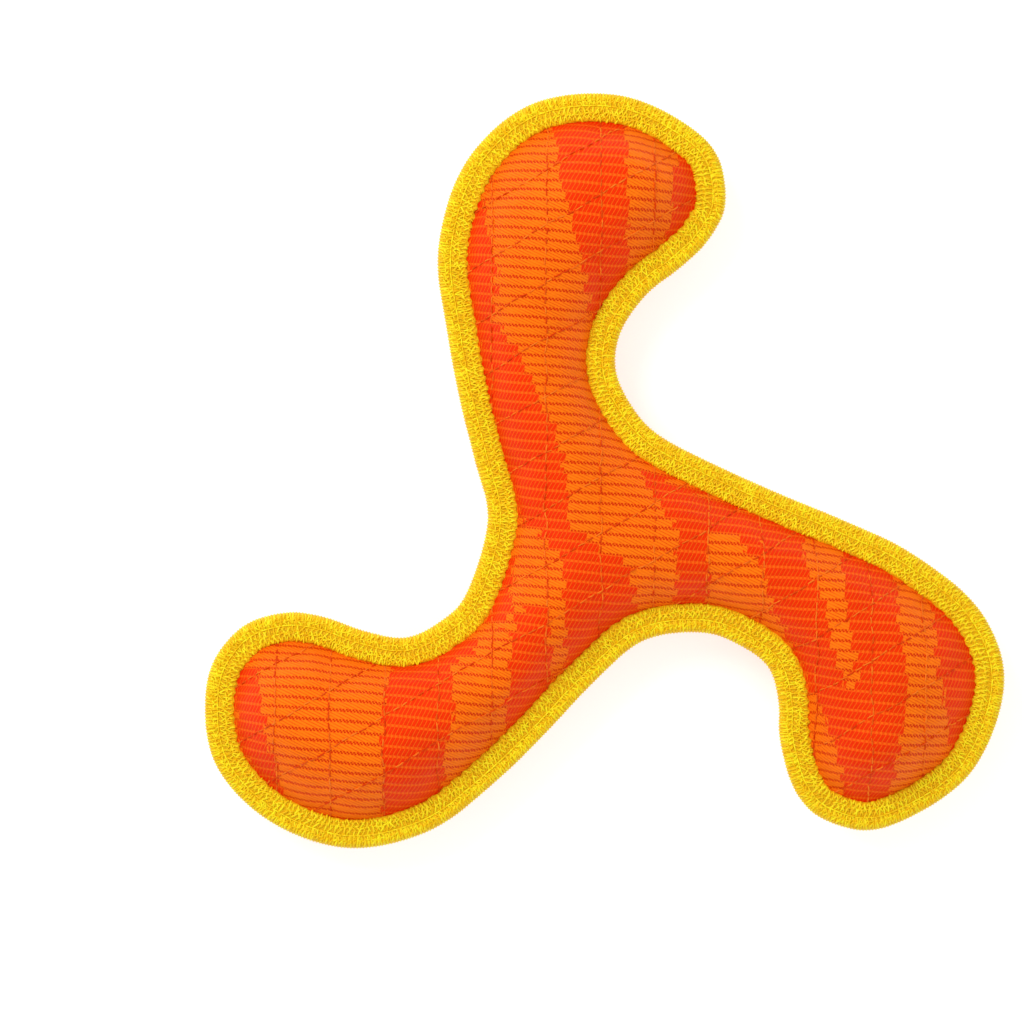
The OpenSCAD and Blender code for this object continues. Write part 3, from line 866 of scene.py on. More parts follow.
def cover_heights(side, plan):
    """Height of the CAD cover's outer face over each point of the plan."""
    co, triangles = cad_mesh("front_cover" if side == FRONT else "back_cover")
    tree = BVHTree.FromPolygons(co.tolist(), triangles.tolist())
    high = 2 * SEAM_Z if side == FRONT else -SEAM_Z
    heights = np.empty(len(plan))
    for n, (x, y) in enumerate(plan.tolist()):
        found = tree.ray_cast(Vector((x, y, high)), Vector((0, 0, -side)))[0]
        heights[n] = (abs(found.z - SEAM_Z) if found else FLANGE_TOP)
    return heights


def domed_cloth(side):
    """The stuffed cover's outer face before its weave: points, triangles, flat cloth, foot count."""
    size = sizes()
    foot = edge_points(int(edge_length() / (1.9 * MM)), size.foot_inset)
    lattice, on_line = quilted_lattice()
    keep = inside(lattice, foot, 1.0 * MM)
    plan, triangles = triangulated(foot, lattice[keep])
    held = np.concatenate([np.ones(len(foot), bool), on_line[keep]])
    at_foot = np.arange(len(plan)) < len(foot)
    heights = cover_heights(side, plan)
    heights[at_foot] = FLANGE_TOP
    edges = edges_of(triangles)
    heights = np.maximum(evened(heights, edges, at_foot, 300.0), FLANGE_TOP)
    heights[at_foot] = FLANGE_TOP
    co = np.column_stack([plan, SEAM_Z + heights])
    flat = laid_flat(co, edges)
    co = swollen("swelling", co, triangles, held, 3000.0, size.puff)
    return co, triangles, flat, len(foot)


def woven_cloth(co, triangles, flat, foot_count):
    """The same face rebuilt on the cloth's own rows, with the groove between rows in its shape."""
    size = sizes()
    turn = np.array([[math.cos(WEAVE_LEAN), math.sin(WEAVE_LEAN)],
                     [-math.sin(WEAVE_LEAN), math.cos(WEAVE_LEAN)]])
    cloth = flat @ turn
    low, high = cloth.min(0), cloth.max(0)
    row_first, row_last = (int(v // size.row_pitch) for v in (low[1], high[1]))
    row_numbers = np.arange(row_first, row_last + 1)
    shares, depths = (0.0, 0.14, 0.5, 0.86), (1.0, 0.2, 0.0, 0.2)  # up one row, and the groove there
    across = ((row_numbers[:, None] + shares) * size.row_pitch).reshape(-1)
    along = np.arange(low[0], high[0], 1.75 * MM)
    grid = np.array(np.meshgrid(along, across, indexing="ij")).reshape(2, -1).T
    grooves = np.tile(depths, len(row_numbers) * len(along))
    foot = cloth[:foot_count]
    keep = inside(grid, foot, 0.75 * MM)
    grid, grooves = grid[keep], grooves[keep]
    spread = np.column_stack([cloth, np.zeros(len(cloth))])
    tree = BVHTree.FromPolygons(spread.tolist(), triangles.tolist())
    hits = (tree.ray_cast(Vector((x, y, 1)), Vector((0, 0, -1)))[2] for x, y in grid.tolist())
    found = np.array([-1 if hit is None else hit for hit in hits])
    grid, grooves, found = grid[found >= 0], grooves[found >= 0], found[found >= 0]
    a, b, c = (cloth[triangles[found, n]] for n in range(3))
    area = cross(b - a, c - a)
    share_b, share_c = cross(grid - a, c - a) / area, cross(b - a, grid - a) / area
    weights = np.column_stack([1 - share_b - share_c, share_b, share_c])
    places = (co[triangles[found]] * weights[:, :, None]).sum(1)
    cloth_out, faces = triangulated(foot, grid)
    out = np.vstack([co[:foot_count], places])
    grooves = np.concatenate([np.zeros(foot_count), grooves])
    edges = edges_of(faces)
    free = np.arange(len(out)) >= foot_count
    out = relaxed(out, edges, free, 5)
    ease = np.clip((out[:, 2] - SEAM_Z - FLANGE_TOP) / (2 * MM), 0, 1)
    out -= normals_of(out, faces) * (grooves * ease * size.row_relief)[:, None]
    return out, faces, cloth_out


def relaxed(co, edges, free, rounds):
    """Each free point moved halfway to the middle of its neighbours, rounds times."""
    degree = edge_count(edges, len(co))
    for _ in range(rounds):
        around = np.column_stack([beside_sum(edges, axis, len(co)) for axis in co.T])
        co = np.where(free[:, None], (co + around / degree[:, None]) / 2, co)
    return co


def normals_of(co, faces):
    a, b, c = (co[faces[:, n]] for n in range(3))
    flat = np.cross(b - a, c - a)
    out = np.column_stack([
        sum(np.bincount(faces[:, n], axis, len(co)) for n in range(3)) for axis in flat.T])
    return out / np.maximum(np.linalg.norm(out, axis=1), 1e-12)[:, None]


def with_flange(co, faces, cloth, foot_count, height, insets):
    """The face carried on outwards from its foot, level at the height given."""
    foot = edge_points(foot_count, sizes().foot_inset)
    rings, ring_cloth, strips = [co], [cloth], []
    before = np.arange(foot_count)
    for number, inset in enumerate(insets):
        plan = edge_points(foot_count, inset)
        rings.append(np.column_stack([plan, np.full(foot_count, height)]))
        ring_cloth.append(cloth[:foot_count] + plan - foot)
        here = len(co) + number * foot_count + np.arange(foot_count)
        strips.append(band(before, here))
        before = here
    return np.vstack(rings), np.vstack([faces, halved(np.vstack(strips))]), np.vstack(ring_cloth)


def thick_cloth(name, side, co, faces, cloth, thickness, material):
    """A closed sheet of cloth under the face given; the back's is turned over."""
    if side == BACK:
        co, faces = turned_over(co), faces[:, ::-1]
    obj = mesh_object(name, co, faces, material)
    mapped(obj, "cloth", cloth)
    return walled(obj, thickness)


FACES = {}


def face_of(side):
    """The outer face of one side, worked out once: its foot count, then points, triangles
    and flat cloth, before its weave and after."""
    if side not in FACES:
        co, triangles, flat, foot_count = domed_cloth(side)
        domed = co, triangles, flat
        FACES[side] = foot_count, domed, woven_cloth(*domed, foot_count)
    return FACES[side]


def settle(obj, slot, *nodes):
    """Hide the CAD nodes that the piece replaces, and let it move with the toy. The slot is not used."""
    if nodes:
        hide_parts(*nodes)
    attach(obj, "toy")


# ---------------------------------------------------------------- covers and linings

def side_name(side):
    return "front" if side == FRONT else "back"


class BOOMERANG_OT_covers(bpy.types.Operator):
    """Make the two quilted, stuffed covers"""
    bl_idname = "boomerang.covers"
    bl_label = "Covers"

    def execute(self, context):
        size = sizes()
        for side, stripes in ((FRONT, FRONT_STRIPES), (BACK, BACK_STRIPES)):
            foot_count, _, woven = face_of(side)
            woven = with_flange(*woven, foot_count, SEAM_Z + FLANGE_TOP, FLANGE_INSETS)
            material = cover_material(side_name(side) + "_cover_cloth", stripes)
            cover = thick_cloth(side_name(side) + "_quilted_cover", side, *woven,
                                size.cover_thickness, material)
            settle(cover, "cover_weave", side_name(side) + "_cover")
        return {"FINISHED"}


class BOOMERANG_OT_linings(bpy.types.Operator):
    """Make the two linings that the covers are quilted to"""
    bl_idname = "boomerang.linings"
    bl_label = "Linings"

    def execute(self, context):
        size, tint = sizes(), colours()
        material = plain_cloth_material("lining_cloth", tint.lining, tint.lining_painted_gap_shade, 0.9 * MM)
        gap = 0.12 * MM
        below = size.cover_thickness + gap
        foot_height = SEAM_Z + FLANGE_TOP - below
        for side in (FRONT, BACK):
            foot_count, (co, triangles, flat), _ = face_of(side)
            outward = normals_of(co, triangles)
            outward[:foot_count] = (0, 0, 1)
            co = co - outward * below
            co[:, 2] = np.maximum(co[:, 2], SEAM_Z + size.lining_thickness + gap)
            co[:foot_count, 2] = foot_height
            whole = with_flange(co, triangles, flat, foot_count, foot_height, [LINING_INSET])
            lining = thick_cloth(side_name(side) + "_lining_cloth", side, *whole,
                                 size.lining_thickness, material)
            settle(lining, "lining", side_name(side) + "_lining")
        return {"FINISHED"}


# ---------------------------------------------------------------- tape

def tape_sections(count, high, thickness):
    """The front half of the folded tape's section: rings of insets and heights along it.

    Its inner edge reaches in a little further between two woven rows of the cover."""
    size, tape = sizes(), tape_sizes()
    foot_count, _, (_, _, cloth) = face_of(FRONT)
    foot_rows = cloth[:foot_count, 1]
    around = np.arange(count) * len(foot_rows) / count
    rows = np.interp(around, np.arange(len(foot_rows) + 1), np.append(foot_rows, foot_rows[0]))
    steepness = np.abs(np.roll(rows, -1) - np.roll(rows, 1)) * count / (2 * edge_length())
    bulge = np.abs(np.sin(np.pi * rows / size.row_pitch))
    loose = np.random.default_rng(11).normal(0, 0.12 * MM, count)
    loose = (np.roll(loose, 1) + loose + np.roll(loose, -1)) / 2
    reach_in = (1 - bulge) * np.minimum(1, steepness * 1.15) ** 2
    inner = tape.tape_width - 0.35 * MM + reach_in * tape.tooth_height + loose
    low = high - thickness
    curl = 0.1 * MM
    flat = 2.0 * MM
    rings = []

    def ring(inset, height):
        rings.append((np.broadcast_to(inset, count), np.broadcast_to(height, count)))

    ring(inner - 0.1 * MM, low)
    ring(inner, low + 0.35 * thickness + curl)
    ring(inner - 0.25 * MM, high + curl)
    ring(inner - 1.2 * MM, high + 0.3 * curl)
    for inset, dip in ((8.2, 0), (6.6, 0), (5.3, 0), (4.8, 0.22), (4.3, 0), (3.2, 0), (2.2, 0)):
        ring(inset * MM, high - dip * MM)
    for turn in np.radians((30, 60, 78)):
        ring(flat - (flat - FOLD_INSET) * math.sin(turn), high * math.cos(turn) ** 0.8)
    return rings


def tape_mesh(name, material):
    """The tape folded over the whole edge, as one closed piece."""
    count = int(edge_length() / (0.62 * MM))
    high = TAPE_FACE - 0.12 * MM
    front = tape_sections(count, high, high - FLANGE_TOP - 0.06 * MM)
    sections = front + [(np.full(count, FOLD_INSET), np.zeros(count))]
    sections += [(inset, -height) for inset, height in reversed(front)]
    under = FLANGE_TOP + 0.06 * MM
    pocket = ((1.25 * MM, under * 0.9), (4 * MM, under), (8 * MM, under))
    sections += [(inset, -height) for inset, height in reversed(pocket)]
    sections += pocket
    co = np.vstack([
        np.column_stack([edge_points(count, inset), SEAM_Z + np.broadcast_to(height, count)])
        for inset, height in sections])
    rings = np.arange(len(co)).reshape(-1, count)
    faces = np.vstack([band(ring, after) for ring, after in zip(rings, np.roll(rings, -1, axis=0))])
    obj = mesh_object(name, co, faces, material)
    along = np.tile(np.arange(count) / count * edge_length(), len(rings))
    mapped(obj, "tape", np.column_stack([along, np.repeat(np.arange(len(rings)), count) * 0.9 * MM]))
    outward(obj)
    return obj


def outward(obj):
    """Turn a closed mesh's faces outwards if its volume comes out negative."""
    mesh = obj.data
    mesh.calc_loop_triangles()
    co = vertices_of(mesh)
    triangles = np.array([triangle.vertices[:] for triangle in mesh.loop_triangles])
    a, b, c = (co[triangles[:, n]] for n in range(3))
    if (a * np.cross(b, c)).sum() < 0:
        mesh.flip_normals()


# ---------------------------------------------------------------- stitches

def stitch_tree(name):
    """Geometry nodes that lay one stitch after another along a line."""
    tree = bpy.data.node_groups.new(name, "GeometryNodeTree")
    for label, kind, value in (
            ("Geometry", "NodeSocketGeometry", None), ("Stitch Shape", "NodeSocketObject", None),
            ("Pitch", "NodeSocketFloat", 0.002), ("Thread Diameter", "NodeSocketFloat", 0.0006),
            ("Length Change", "NodeSocketFloat", 0.1), ("Thickness Change", "NodeSocketFloat", 0.15),
            ("Turn Change", "NodeSocketFloat", 0.1), ("Side Shift", "NodeSocketFloat", 0.0),
            ("Sides", "NodeSocketInt", 6), ("Seed", "NodeSocketInt", 1),
            ("Material", "NodeSocketMaterial", None)):
        socket = tree.interface.new_socket(name=label, in_out="INPUT", socket_type=kind)
        if value is not None:
            socket.default_value = value
    tree.interface.new_socket(name="Geometry", in_out="OUTPUT", socket_type="NodeSocketGeometry")
    g = Graph(tree)
    given = g.add("NodeGroupInput").outputs
    line = g.add("GeometryNodeMeshToCurve", {"Mesh": given["Geometry"]}).outputs["Curve"]
    spaced = g.add("GeometryNodeResampleCurve", {
        "Curve": line, "Length": given["Pitch"]}, mode="LENGTH")
    shape = g.add("GeometryNodeObjectInfo", {
        "Object": given["Stitch Shape"]}, transform_space="ORIGINAL")
    path = g.add("GeometryNodeMeshToCurve", {"Mesh": shape.outputs["Geometry"]}).outputs["Curve"]
    radius = g.math("MULTIPLY", given["Thread Diameter"], 0.5)
    profile = g.add("GeometryNodeCurvePrimitiveCircle", {
        "Resolution": given["Sides"], "Radius": radius})
    thread = g.add("GeometryNodeCurveToMesh", {
        "Curve": path, "Profile Curve": profile.outputs["Curve"], "Fill Caps": True})
    soft = g.add("GeometryNodeSetShadeSmooth", {
        "Geometry": thread.outputs["Mesh"], "Shade Smooth": True})
    up = g.add("GeometryNodeInputNamedAttribute", {"Name": "up"}, data_type="FLOAT_VECTOR").outputs[0]
    tangent = g.add("GeometryNodeInputTangent").outputs[0]
    facing = g.add("FunctionNodeAxesToRotation", {"Primary Axis": up, "Secondary Axis": tangent},
                   primary_axis="Z", secondary_axis="X").outputs[0]

    def chance(change, offset, around):
        """A number for each stitch, up to change away from around."""
        low, high = (g.math(way, around, change) for way in ("SUBTRACT", "ADD"))
        seed = g.math("ADD", given["Seed"], offset)
        return g.add("FunctionNodeRandomValue", {2: low, 3: high, "Seed": seed},
                     data_type="FLOAT").outputs[1]

    turn = g.combined(0.0, 0.0, chance(given["Turn Change"], 1, 0.0))
    rotation = g.add("FunctionNodeRotateRotation", {"Rotation": facing, "Rotate By": turn},
                     rotation_space="LOCAL").outputs[0]
    scale = g.combined(chance(given["Length Change"], 3, 1.0), chance(given["Length Change"], 4, 1.0),
                       chance(given["Thickness Change"], 2, 1.0))
    laid = g.add("GeometryNodeInstanceOnPoints", {
        "Points": spaced.outputs["Curve"], "Instance": soft.outputs["Geometry"],
        "Rotation": rotation, "Scale": scale})
    shift = g.combined(0.0, chance(given["Side Shift"], 5, 0.0))
    moved = g.add("GeometryNodeTranslateInstances", {
        "Instances": laid.outputs["Instances"], "Translation": shift, "Local Space": True})
    shaded = g.add("GeometryNodeStoreNamedAttribute", {
        "Geometry": moved.outputs["Instances"], "Name": "shade", "Value": chance(0.5, 6, 0.5)},
        data_type="FLOAT", domain="INSTANCE")
    whole = g.add("GeometryNodeRealizeInstances", {"Geometry": shaded.outputs["Geometry"]})
    dressed = g.add("GeometryNodeSetMaterial", {
        "Geometry": whole.outputs["Geometry"], "Material": given["Material"]})
    out = g.add("NodeGroupOutput")
    g.put(out.inputs["Geometry"], dressed.outputs["Geometry"])
    return tree


def set_inputs(modifier, **values):
    """Set a Geometry Nodes modifier's inputs by their sockets' identifiers."""
    ids = {item.name: item.identifier for item in modifier.node_group.interface.items_tree
           if getattr(item, "in_out", None) == "INPUT"}
    for name, value in values.items():
        modifier[ids[name.replace("_", " ")]] = value


def line_object(name, lines, ups, closed):
    """A carrier of thread: polylines, each point with the direction that faces out of the cloth."""
    co, edges, out = [], [], []
    for line, up in zip(lines, ups):
        start, count = len(co), len(line)
        co.extend(np.asarray(line).tolist())
        out.extend(np.asarray(up).tolist())
        edges.extend([start + n, start + n + 1] for n in range(count - 1))
        if closed:
            edges.append([start + count - 1, start])
    mesh = bpy.data.meshes.new(name)
    mesh.from_pydata(co, edges, [])
    attribute = mesh.attributes.new("up", "FLOAT_VECTOR", "POINT")
    attribute.data.foreach_set("vector", np.array(out, np.float32).reshape(-1))
    return new_object(name, mesh)


def sewn(name, lines, ups, shape, material, closed=True, **values):
    """Stitches of one kind along lines, as a plain mesh."""
    carrier = line_object(name, lines, ups, closed)
    path = bpy.data.meshes.new(name + "_path")
    path.from_pydata(shape, [(n, n + 1) for n in range(len(shape) - 1)], [])
    stitch = new_object(name + "_path", path)
    modifier = carrier.modifiers.new("stitches", "NODES")
    modifier.node_group = kept_group("Stitches on a line", stitch_tree)
    set_inputs(modifier, Stitch_Shape=stitch, Material=material, **values)
    baked(carrier)
    removed(stitch)
    if not carrier.data.polygons:
        raise RuntimeError(name + " came out with no stitches")
    return carrier


def ring_line(inset, height):
    """A line right round the toy, and the way it faces at each point."""
    count = 1500
    line = np.column_stack([edge_points(count, inset), np.full(count, SEAM_Z + height)])
    return line, np.tile((0.0, 0.0, 1.0), (count, 1))


def arch(span, rise, slant=None):
    """A stitch that comes up out of the cloth, lies on it and goes back in.

    It lies along its line, or across it where a slant is given."""
    steps = ((-0.5, -0.7), (-0.36, 0.45), (0.0, 0.75), (0.36, 0.45), (0.5, -0.7))
    if slant is None:
        return [(share * span, 0.0, height * rise) for share, height in steps]
    width = span / math.hypot(1, slant)
    return [(slant * share * width, share * width, height * rise) for share, height in steps]


def rib_path(reach):
    """A yarn that wraps the tape's outer half, from the front face over the fold to the back."""
    top = TAPE_FACE - 0.1 * MM
    front = [
        (reach, top - 0.35 * MM), (reach - 0.4 * MM, top), (3.1 * MM, top + 0.04 * MM),
        (1.9 * MM, top - 0.08 * MM), (1.12 * MM, top - 0.75 * MM),
        (FOLD_INSET + 0.22 * MM, top * 0.48)]
    side = front + [(FOLD_INSET, 0.0)] + [(inset, -height) for inset, height in reversed(front)]
    return [(0.0, inset, height) for inset, height in side]


class BOOMERANG_OT_binding(bpy.types.Operator):
    """Make the tape folded over the edge, its ribs and its seam stitches"""
    bl_idname = "boomerang.binding"
    bl_label = "Edge binding"

    def execute(self, context):
        tape, tint = tape_sizes(), colours()
        folded = tape_mesh("folded_tape", tape_material())
        settle(folded, "binding_tape", "edge_binding")
        # Ribs and stitches mix the yarn's lit copy and its painted shade at random per stitch.
        yarn = yarn_material("tape_yarn", tint.yarn, tint.yarn_painted_shade, YARN_GLOSS)
        line, up = ring_line(0.0, 0.0)
        ribs = sewn("tape_ribs", [line], [up], rib_path(4.6 * MM), yarn, Pitch=tape.rib_pitch,
                    Thread_Diameter=tape.rib_thickness, Length_Change=0.1, Thickness_Change=0.03,
                    Turn_Change=0.14, Sides=5, Seed=3)
        settle(ribs, "binding_tape")
        thread = yarn_material("seam_thread", tint.yarn, tint.yarn_painted_shade, YARN_GLOSS, 0.45)
        for side in (FRONT, BACK):
            row, up = ring_line(SEAM_INSET, side * (TAPE_FACE - 0.1 * MM))
            seam = sewn(side_name(side) + "_seam_stitches", [row], [up * side],
                        arch(2.7 * MM, 0.5 * MM), thread,
                        Pitch=tape.stitch_pitch, Thread_Diameter=tape.stitch_thickness,
                        Length_Change=0.08, Turn_Change=0.08, Seed=5 + side)
            settle(seam, "sewing_thread", side_name(side) + "_stitch_row")
            pieces = []
            for number, (inset, slant, span) in enumerate(ZIGZAG_ROWS):
                row, up = ring_line(inset * MM, side * (TAPE_FACE - 0.12 * MM))
                pieces.append(sewn(
                    side_name(side) + "_zigzag_%d" % number, [row], [up * side],
                    arch(span * MM, 0.6 * MM, slant), thread,
                    Pitch=tape.zigzag_pitch, Thread_Diameter=tape.zigzag_thickness,
                    Length_Change=0.2, Turn_Change=0.35, Side_Shift=0.5 * MM,
                    Sides=4, Seed=20 + 7 * number + side))
            settle(joined(side_name(side) + "_zigzag_stitches", pieces), "sewing_thread")
        return {"FINISHED"}


def joined(name, pieces):
    """Several meshes as one piece."""
    with bpy.context.temp_override(active_object=pieces[0], selected_editable_objects=pieces):
        bpy.ops.object.join()
    pieces[0].name = pieces[0].data.name = name
    return pieces[0]


# ---------------------------------------------------------------- quilting thread

def quilting_lines(side):
    """Where the quilting runs over one cover: each line's points and the way the cloth faces."""
    size = sizes()
    _, _, (co, faces, _) = face_of(side)
    tree = BVHTree.FromPolygons(co.tolist(), faces.tolist())
    limit = edge_points(1200, size.foot_inset + 0.9 * MM)
    reach, bends = 200 * MM, 60
    spans = np.arange(-reach, reach, 0.6 * MM)
    rng = np.random.default_rng(4)
    lines, ups = [], []
    for number in range(-9, 10):
        for upright in (True, False):
            wander = np.interp(spans, np.linspace(-reach, reach, bends), rng.normal(0, 0.4 * MM, bends))
            if upright:
                plan = np.column_stack([number * size.quilting_across + wander, spans])
            else:
                plan = np.column_stack(
                    [spans, number * size.quilting_up + spans * QUILT_SLOPE + wander])
            plan = plan + QUILT_START
            good = inside(plan, limit)
            for run in np.split(np.arange(len(plan)), np.flatnonzero(np.diff(good.astype(int))) + 1):
                if not good[run[0]] or len(run) < 8:
                    continue
                line, up = [], []
                for x, y in plan[run].tolist():
                    hit, normal, _, _ = tree.ray_cast(Vector((x, y, 1)), Vector((0, 0, -1)))
                    if hit is None:
                        continue
                    line.append((hit.x, hit.y, hit.z))
                    up.append(normal[:])
                line, up = np.array(line), np.array(up)
                for _ in range(3):
                    up[1:-1] = up[:-2] + up[1:-1] + up[2:]
                    up /= np.linalg.norm(up, axis=1)[:, None]
                lines.append(line if side == FRONT else turned_over(line))
                ups.append(up * (1, 1, side))
    return lines, ups


class BOOMERANG_OT_quilting(bpy.types.Operator):
    """Sew the quilting thread over both covers"""
    bl_idname = "boomerang.quilting"
    bl_label = "Quilting thread"

    def execute(self, context):
        tape, tint = tape_sizes(), colours()
        # Stitches mix the thread's colour with its painted glint at random.
        thread = yarn_material("quilting_thread", tint.quilting, tint.quilting_painted_glint,
                               QUILTING_GLOSS, fine=2400.0)
        for side in (FRONT, BACK):
            lines, ups = quilting_lines(side)
            quilting = sewn(side_name(side) + "_quilting_thread", lines, ups,
                            arch(2.7 * MM, 0.36 * MM), thread, closed=False,
                            Pitch=tape.quilting_pitch, Thread_Diameter=tape.quilting_thickness,
                            Length_Change=0.15, Turn_Change=0.12, Side_Shift=0.1 * MM,
                            Sides=5, Seed=40 + side)
            settle(quilting, "sewing_thread")
        return {"FINISHED"}


# ---------------------------------------------------------------- stuffing

class BOOMERANG_OT_stuffing(bpy.types.Operator):
    """Make the four wads of loose fibre"""
    bl_idname = "boomerang.stuffing"
    bl_label = "Stuffing"

    def execute(self, context):
        material = stuffing_material()
        for node in ("hub_stuffing",) + tuple(arm + "_stuffing" for arm in ARMS):
            co, triangles = cad_mesh(node)
            wad = mesh_object(node + "_fibre", co, triangles, material)
            remesh = wad.modifiers.new("even", "REMESH")
            remesh.mode = "VOXEL"
            remesh.voxel_size = 2.4 * MM
            baked(wad)
            co = vertices_of(wad.data)
            normal = np.array([v.vector for v in wad.data.vertex_normals])
            tufts = np.array([noise.noise(Vector(p) * 130) + 0.5 * noise.noise(Vector(p) * 320)
                              for p in co.tolist()])
            co -= normal * (1.0 * MM + 0.55 * MM * tufts)[:, None]
            wad.data.vertices.foreach_set("co", co.reshape(-1))
            wad.data.shade_smooth()
            settle(wad, "stuffing", node)
        return {"FINISHED"}


# ---------------------------------------------------------------- squeakers

def turned(name, section, centre, base, sides, material, wobble=None):
    """A closed shape turned about a squeaker's axis from its half section, in metres."""
    angles = np.arange(sides) / sides * 2 * math.pi
    co, rings = [], []
    for radius, height in section:
        if radius < 1e-7:
            rings.append([len(co)] * sides)
            co.append((centre[0], centre[1], base + height))
            continue
        rings.append(list(range(len(co), len(co) + sides)))
        for angle in angles:
            reach = radius + (wobble(angle, radius, height) if wobble else 0.0)
            co.append((centre[0] + reach * math.cos(angle),
                       centre[1] + reach * math.sin(angle), base + height))
    faces = []
    for ring, after in zip(rings, rings[1:]):
        for n in range(sides):
            beside = (n + 1) % sides
            corners = [ring[n], ring[beside], after[beside], after[n]]
            corners = [c for k, c in enumerate(corners) if c != corners[k - 1]]
            if len(set(corners)) > 2:
                faces.append(corners)
    obj = mesh_object(name, co, faces, material)
    outward(obj)
    return obj


def rounded(points, radius, steps=4):
    """A half section with its corners rounded off, its first and last point kept."""
    out = [points[0]]
    for before, here, after in zip(points, points[1:], points[2:]):
        before, here, after = (Vector(p) for p in (before, here, after))
        cut = min(radius, (before - here).length / 2.2, (after - here).length / 2.2)
        first = here + (before - here).normalized() * cut
        last = here + (after - here).normalized() * cut
        for n in range(steps + 1):
            t = n / steps
            out.append(tuple(first * (1 - t) ** 2 + here * 2 * t * (1 - t) + last * t ** 2))
    out.append(points[-1])
    return out


class BOOMERANG_OT_squeakers(bpy.types.Operator):
    """Make the squeakers' pouches and pleated bladders, and finish their plugs, reeds and caps"""
    bl_idname = "boomerang.squeakers"
    bl_label = "Squeakers"

    def execute(self, context):
        tint = colours()
        pouch_cloth = plain_cloth_material("pouch_cloth", tint.pouch, tint.pouch_painted_gap_shade, 0.8 * MM)
        bladder_plastic = plastic_material("bladder_plastic", tint.bladder, 0.02, 0.0,
                                           Subsurface_Weight=0.15, Specular_IOR_Level=0.5)
        kept = {
            "plug_plastic": plastic_material("plug_plastic", tint.plug, 0.015, -0.02, Specular_IOR_Level=0.5),
            "cap_plastic": plastic_material("cap_plastic", tint.cap, 0.015, -0.02, Specular_IOR_Level=0.5),
            "reed_film": plastic_material("reed_film", tint.reed, 0.004, -0.2,
                                     Coat_Weight=0.4, Specular_IOR_Level=0.6)}
        for arm in ARMS:
            self.pouch(arm, pouch_cloth)
            self.bladder(arm, bladder_plastic)
            for slot, material in kept.items():
                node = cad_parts[arm + "_" + slot.split("_")[0]]
                node.data.materials.clear()
                node.data.materials.append(material)
        return {"FINISHED"}

    def pouch(self, arm, material):
        low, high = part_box(arm + "_pouch")
        centre = (low + high) / 2
        clear = 0.12 * MM
        radius, tall = (high.x - low.x) / 2 - clear, high.z - low.z - 2 * clear
        half = [(0, 0), (radius, 0), (radius, tall), (0, tall)]
        section = rounded(half, 4.2 * MM, 6)
        section = [(0, 0)] + [(radius * s, 0.0) for s in (0.25, 0.5)] + section[1:-1] \
            + [(radius * s, tall) for s in (0.5, 0.25)] + [(0, tall)]
        section = [p for k, p in enumerate(section) if k == 0 or Vector(p) != Vector(section[k - 1])]

        def gathers(angle, reach, height):
            return -0.22 * MM * (1 + math.cos(angle * 18)) * min(1, reach / radius)

        pouch = turned(arm + "_squeaker_pouch", section, centre, low.z + clear, 72, material, gathers)
        walled(pouch, 0.45 * MM)
        settle(pouch, "pouch_cloth", arm + "_pouch")

    def bladder(self, arm, material):
        low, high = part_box(arm + "_bladder")
        centre = (low + high) / 2
        radius, tall = (high.x - low.x) / 2, high.z - low.z
        pleat, wall, neck = 2.2 * MM, 0.9 * MM, 5.08 * MM
        ridge = 0.2 * tall
        rim = radius - pleat
        outer = [(0, 0), (rim, 0), (radius, ridge), (rim, tall / 2), (radius, tall - ridge),
                 (rim, tall), (neck, tall)]
        inner = [(neck, tall - wall), (rim - wall, tall - wall), (radius - wall, tall - ridge),
                 (rim - wall, tall / 2), (radius - wall, ridge), (rim - wall, wall), (0, wall)]
        section = rounded(outer, 0.9 * MM) + rounded(inner, 0.7 * MM)
        bladder = turned(arm + "_squeaker_bladder", section, centre, low.z, 64, material)
        settle(bladder, "bladder_plastic", arm + "_bladder")
        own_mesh(bladder)


# ---------------------------------------------------------------- stage

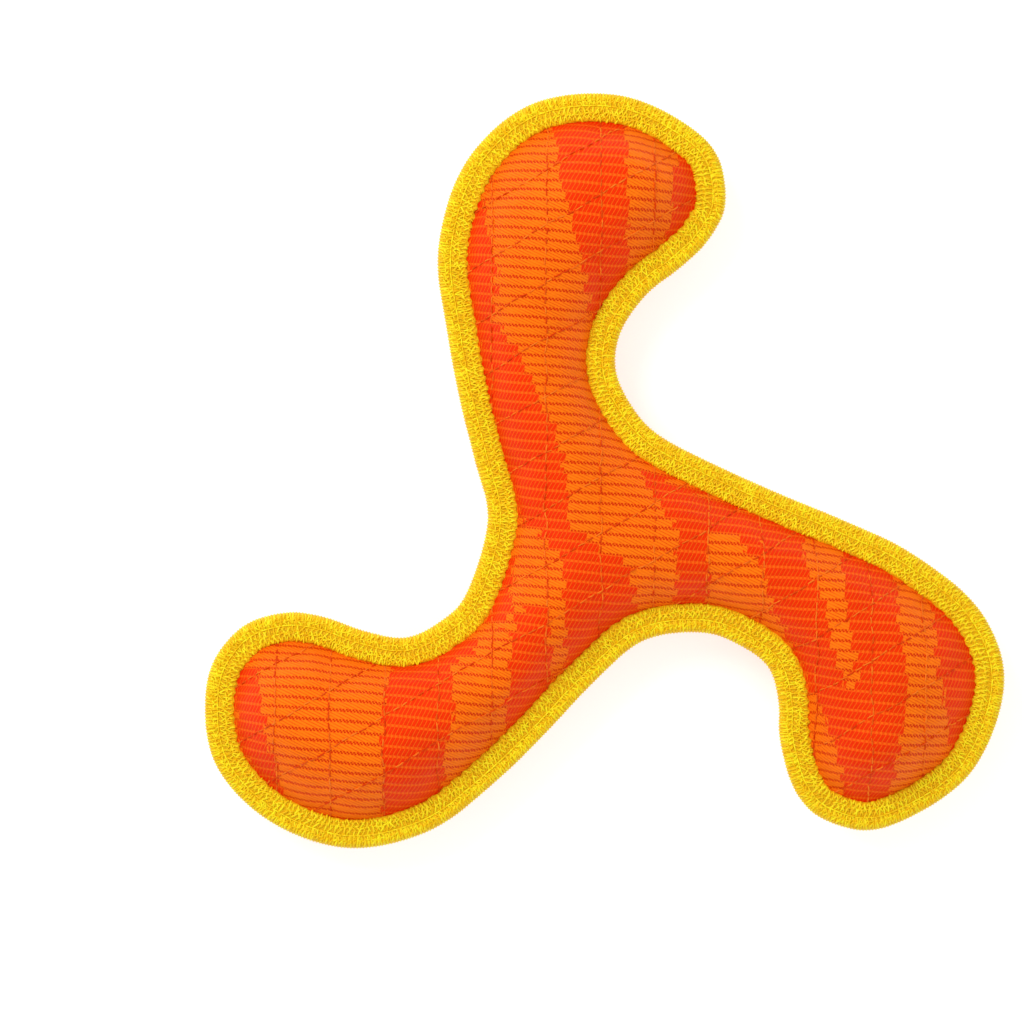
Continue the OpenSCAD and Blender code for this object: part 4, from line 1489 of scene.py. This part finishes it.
class BOOMERANG_OT_stage(bpy.types.Operator):
    """Set up the pale floor, the soft studio light and the camera straight above"""
    bl_idname = "boomerang.stage"
    bl_label = "Stage"

    def execute(self, context):
        scene = context.scene
        material, _, shader = new_material("studio_floor")
        for name, value in (("Base Color", (0.6, 0.6, 0.6, 1)), ("Roughness", 0.9),
                            ("Emission Color", (1, 1, 1, 1)), ("Emission Strength", 0.62)):
            shader.inputs[name].default_value = value
        corners = [(4 * x, 4 * y, FLOOR_Z) for x, y in ((-1, -1), (1, -1), (1, 1), (-1, 1))]
        mesh_object("studio_floor", corners, [range(4)], material)
        self.light("key_light", (-0.75, 0.75, 1.3), 0.9, 13.0)
        self.light("fill_light", (0.9, -0.5, 1.4), 1.2, 3.0)
        world = scene.world or bpy.data.worlds.new("studio")
        scene.world = world
        world.use_nodes = True
        background = world.node_tree.nodes["Background"]
        background.inputs["Color"].default_value = (1, 1, 1, 1)
        background.inputs["Strength"].default_value = 0.68
        camera = new_object("camera", bpy.data.cameras.new("camera"))
        camera.data.lens, camera.data.sensor_width, camera.data.clip_end = 200, 36, 20
        field = 373.8 * MM  # how much of the seam's plane is seen from side to side
        camera.location = (-33.8 * MM, -15.1 * MM,
                           SEAM_Z + field * camera.data.lens / camera.data.sensor_width)
        scene.camera = camera
        scene.view_settings.view_transform = "Standard"
        return {"FINISHED"}

    def light(self, name, place, size, power):
        lamp = bpy.data.lights.new(name, "AREA")
        lamp.shape = "DISK"
        lamp.size = size
        lamp.energy = power
        obj = new_object(name, lamp)
        obj.location = place
        aim = Vector((0, 0, SEAM_Z)) - Vector(place)
        obj.rotation_euler = aim.to_track_quat("-Z", "Y").to_euler()


# ---------------------------------------------------------------- panel and registration

OPERATORS = (
    BOOMERANG_OT_stage, BOOMERANG_OT_covers, BOOMERANG_OT_stuffing, BOOMERANG_OT_linings,
    BOOMERANG_OT_binding, BOOMERANG_OT_quilting, BOOMERANG_OT_squeakers,
)
GROUPS = (
    ("boomerang_sizes", BOOMERANG_PG_sizes), ("boomerang_tape", BOOMERANG_PG_tape),
    ("boomerang_colours", BOOMERANG_PG_colours),
)


class BOOMERANG_PT_panel(bpy.types.Panel):
    """Lists the toy's settings and pieces"""
    bl_idname = "BOOMERANG_PT_panel"
    bl_label = "Boomerang toy"
    bl_space_type = "VIEW_3D"
    bl_region_type = "UI"
    bl_category = "Boomerang"

    def draw(self, context):
        layout = self.layout
        for name, group in GROUPS:
            box = layout.box()
            settings = getattr(context.scene, name)
            for prop in group.__annotations__:
                box.prop(settings, prop)
        for operator in OPERATORS:
            layout.operator(operator.bl_idname)


def register():
    for _, group in GROUPS:
        bpy.utils.register_class(group)
    for operator in OPERATORS:
        bpy.utils.register_class(operator)
    bpy.utils.register_class(BOOMERANG_PT_panel)
    for name, group in GROUPS:
        setattr(bpy.types.Scene, name, bpy.props.PointerProperty(type=group))


def unregister():
    for name, _ in GROUPS:
        delattr(bpy.types.Scene, name)
    bpy.utils.unregister_class(BOOMERANG_PT_panel)
    for operator in reversed(OPERATORS):
        bpy.utils.unregister_class(operator)
    for _, group in reversed(GROUPS):
        bpy.utils.unregister_class(group)


def main():
    register()
    for operator in OPERATORS:
        group, name = operator.bl_idname.split(".")
        getattr(getattr(bpy.ops, group), name)()


if __name__ == "__main__":
    main()
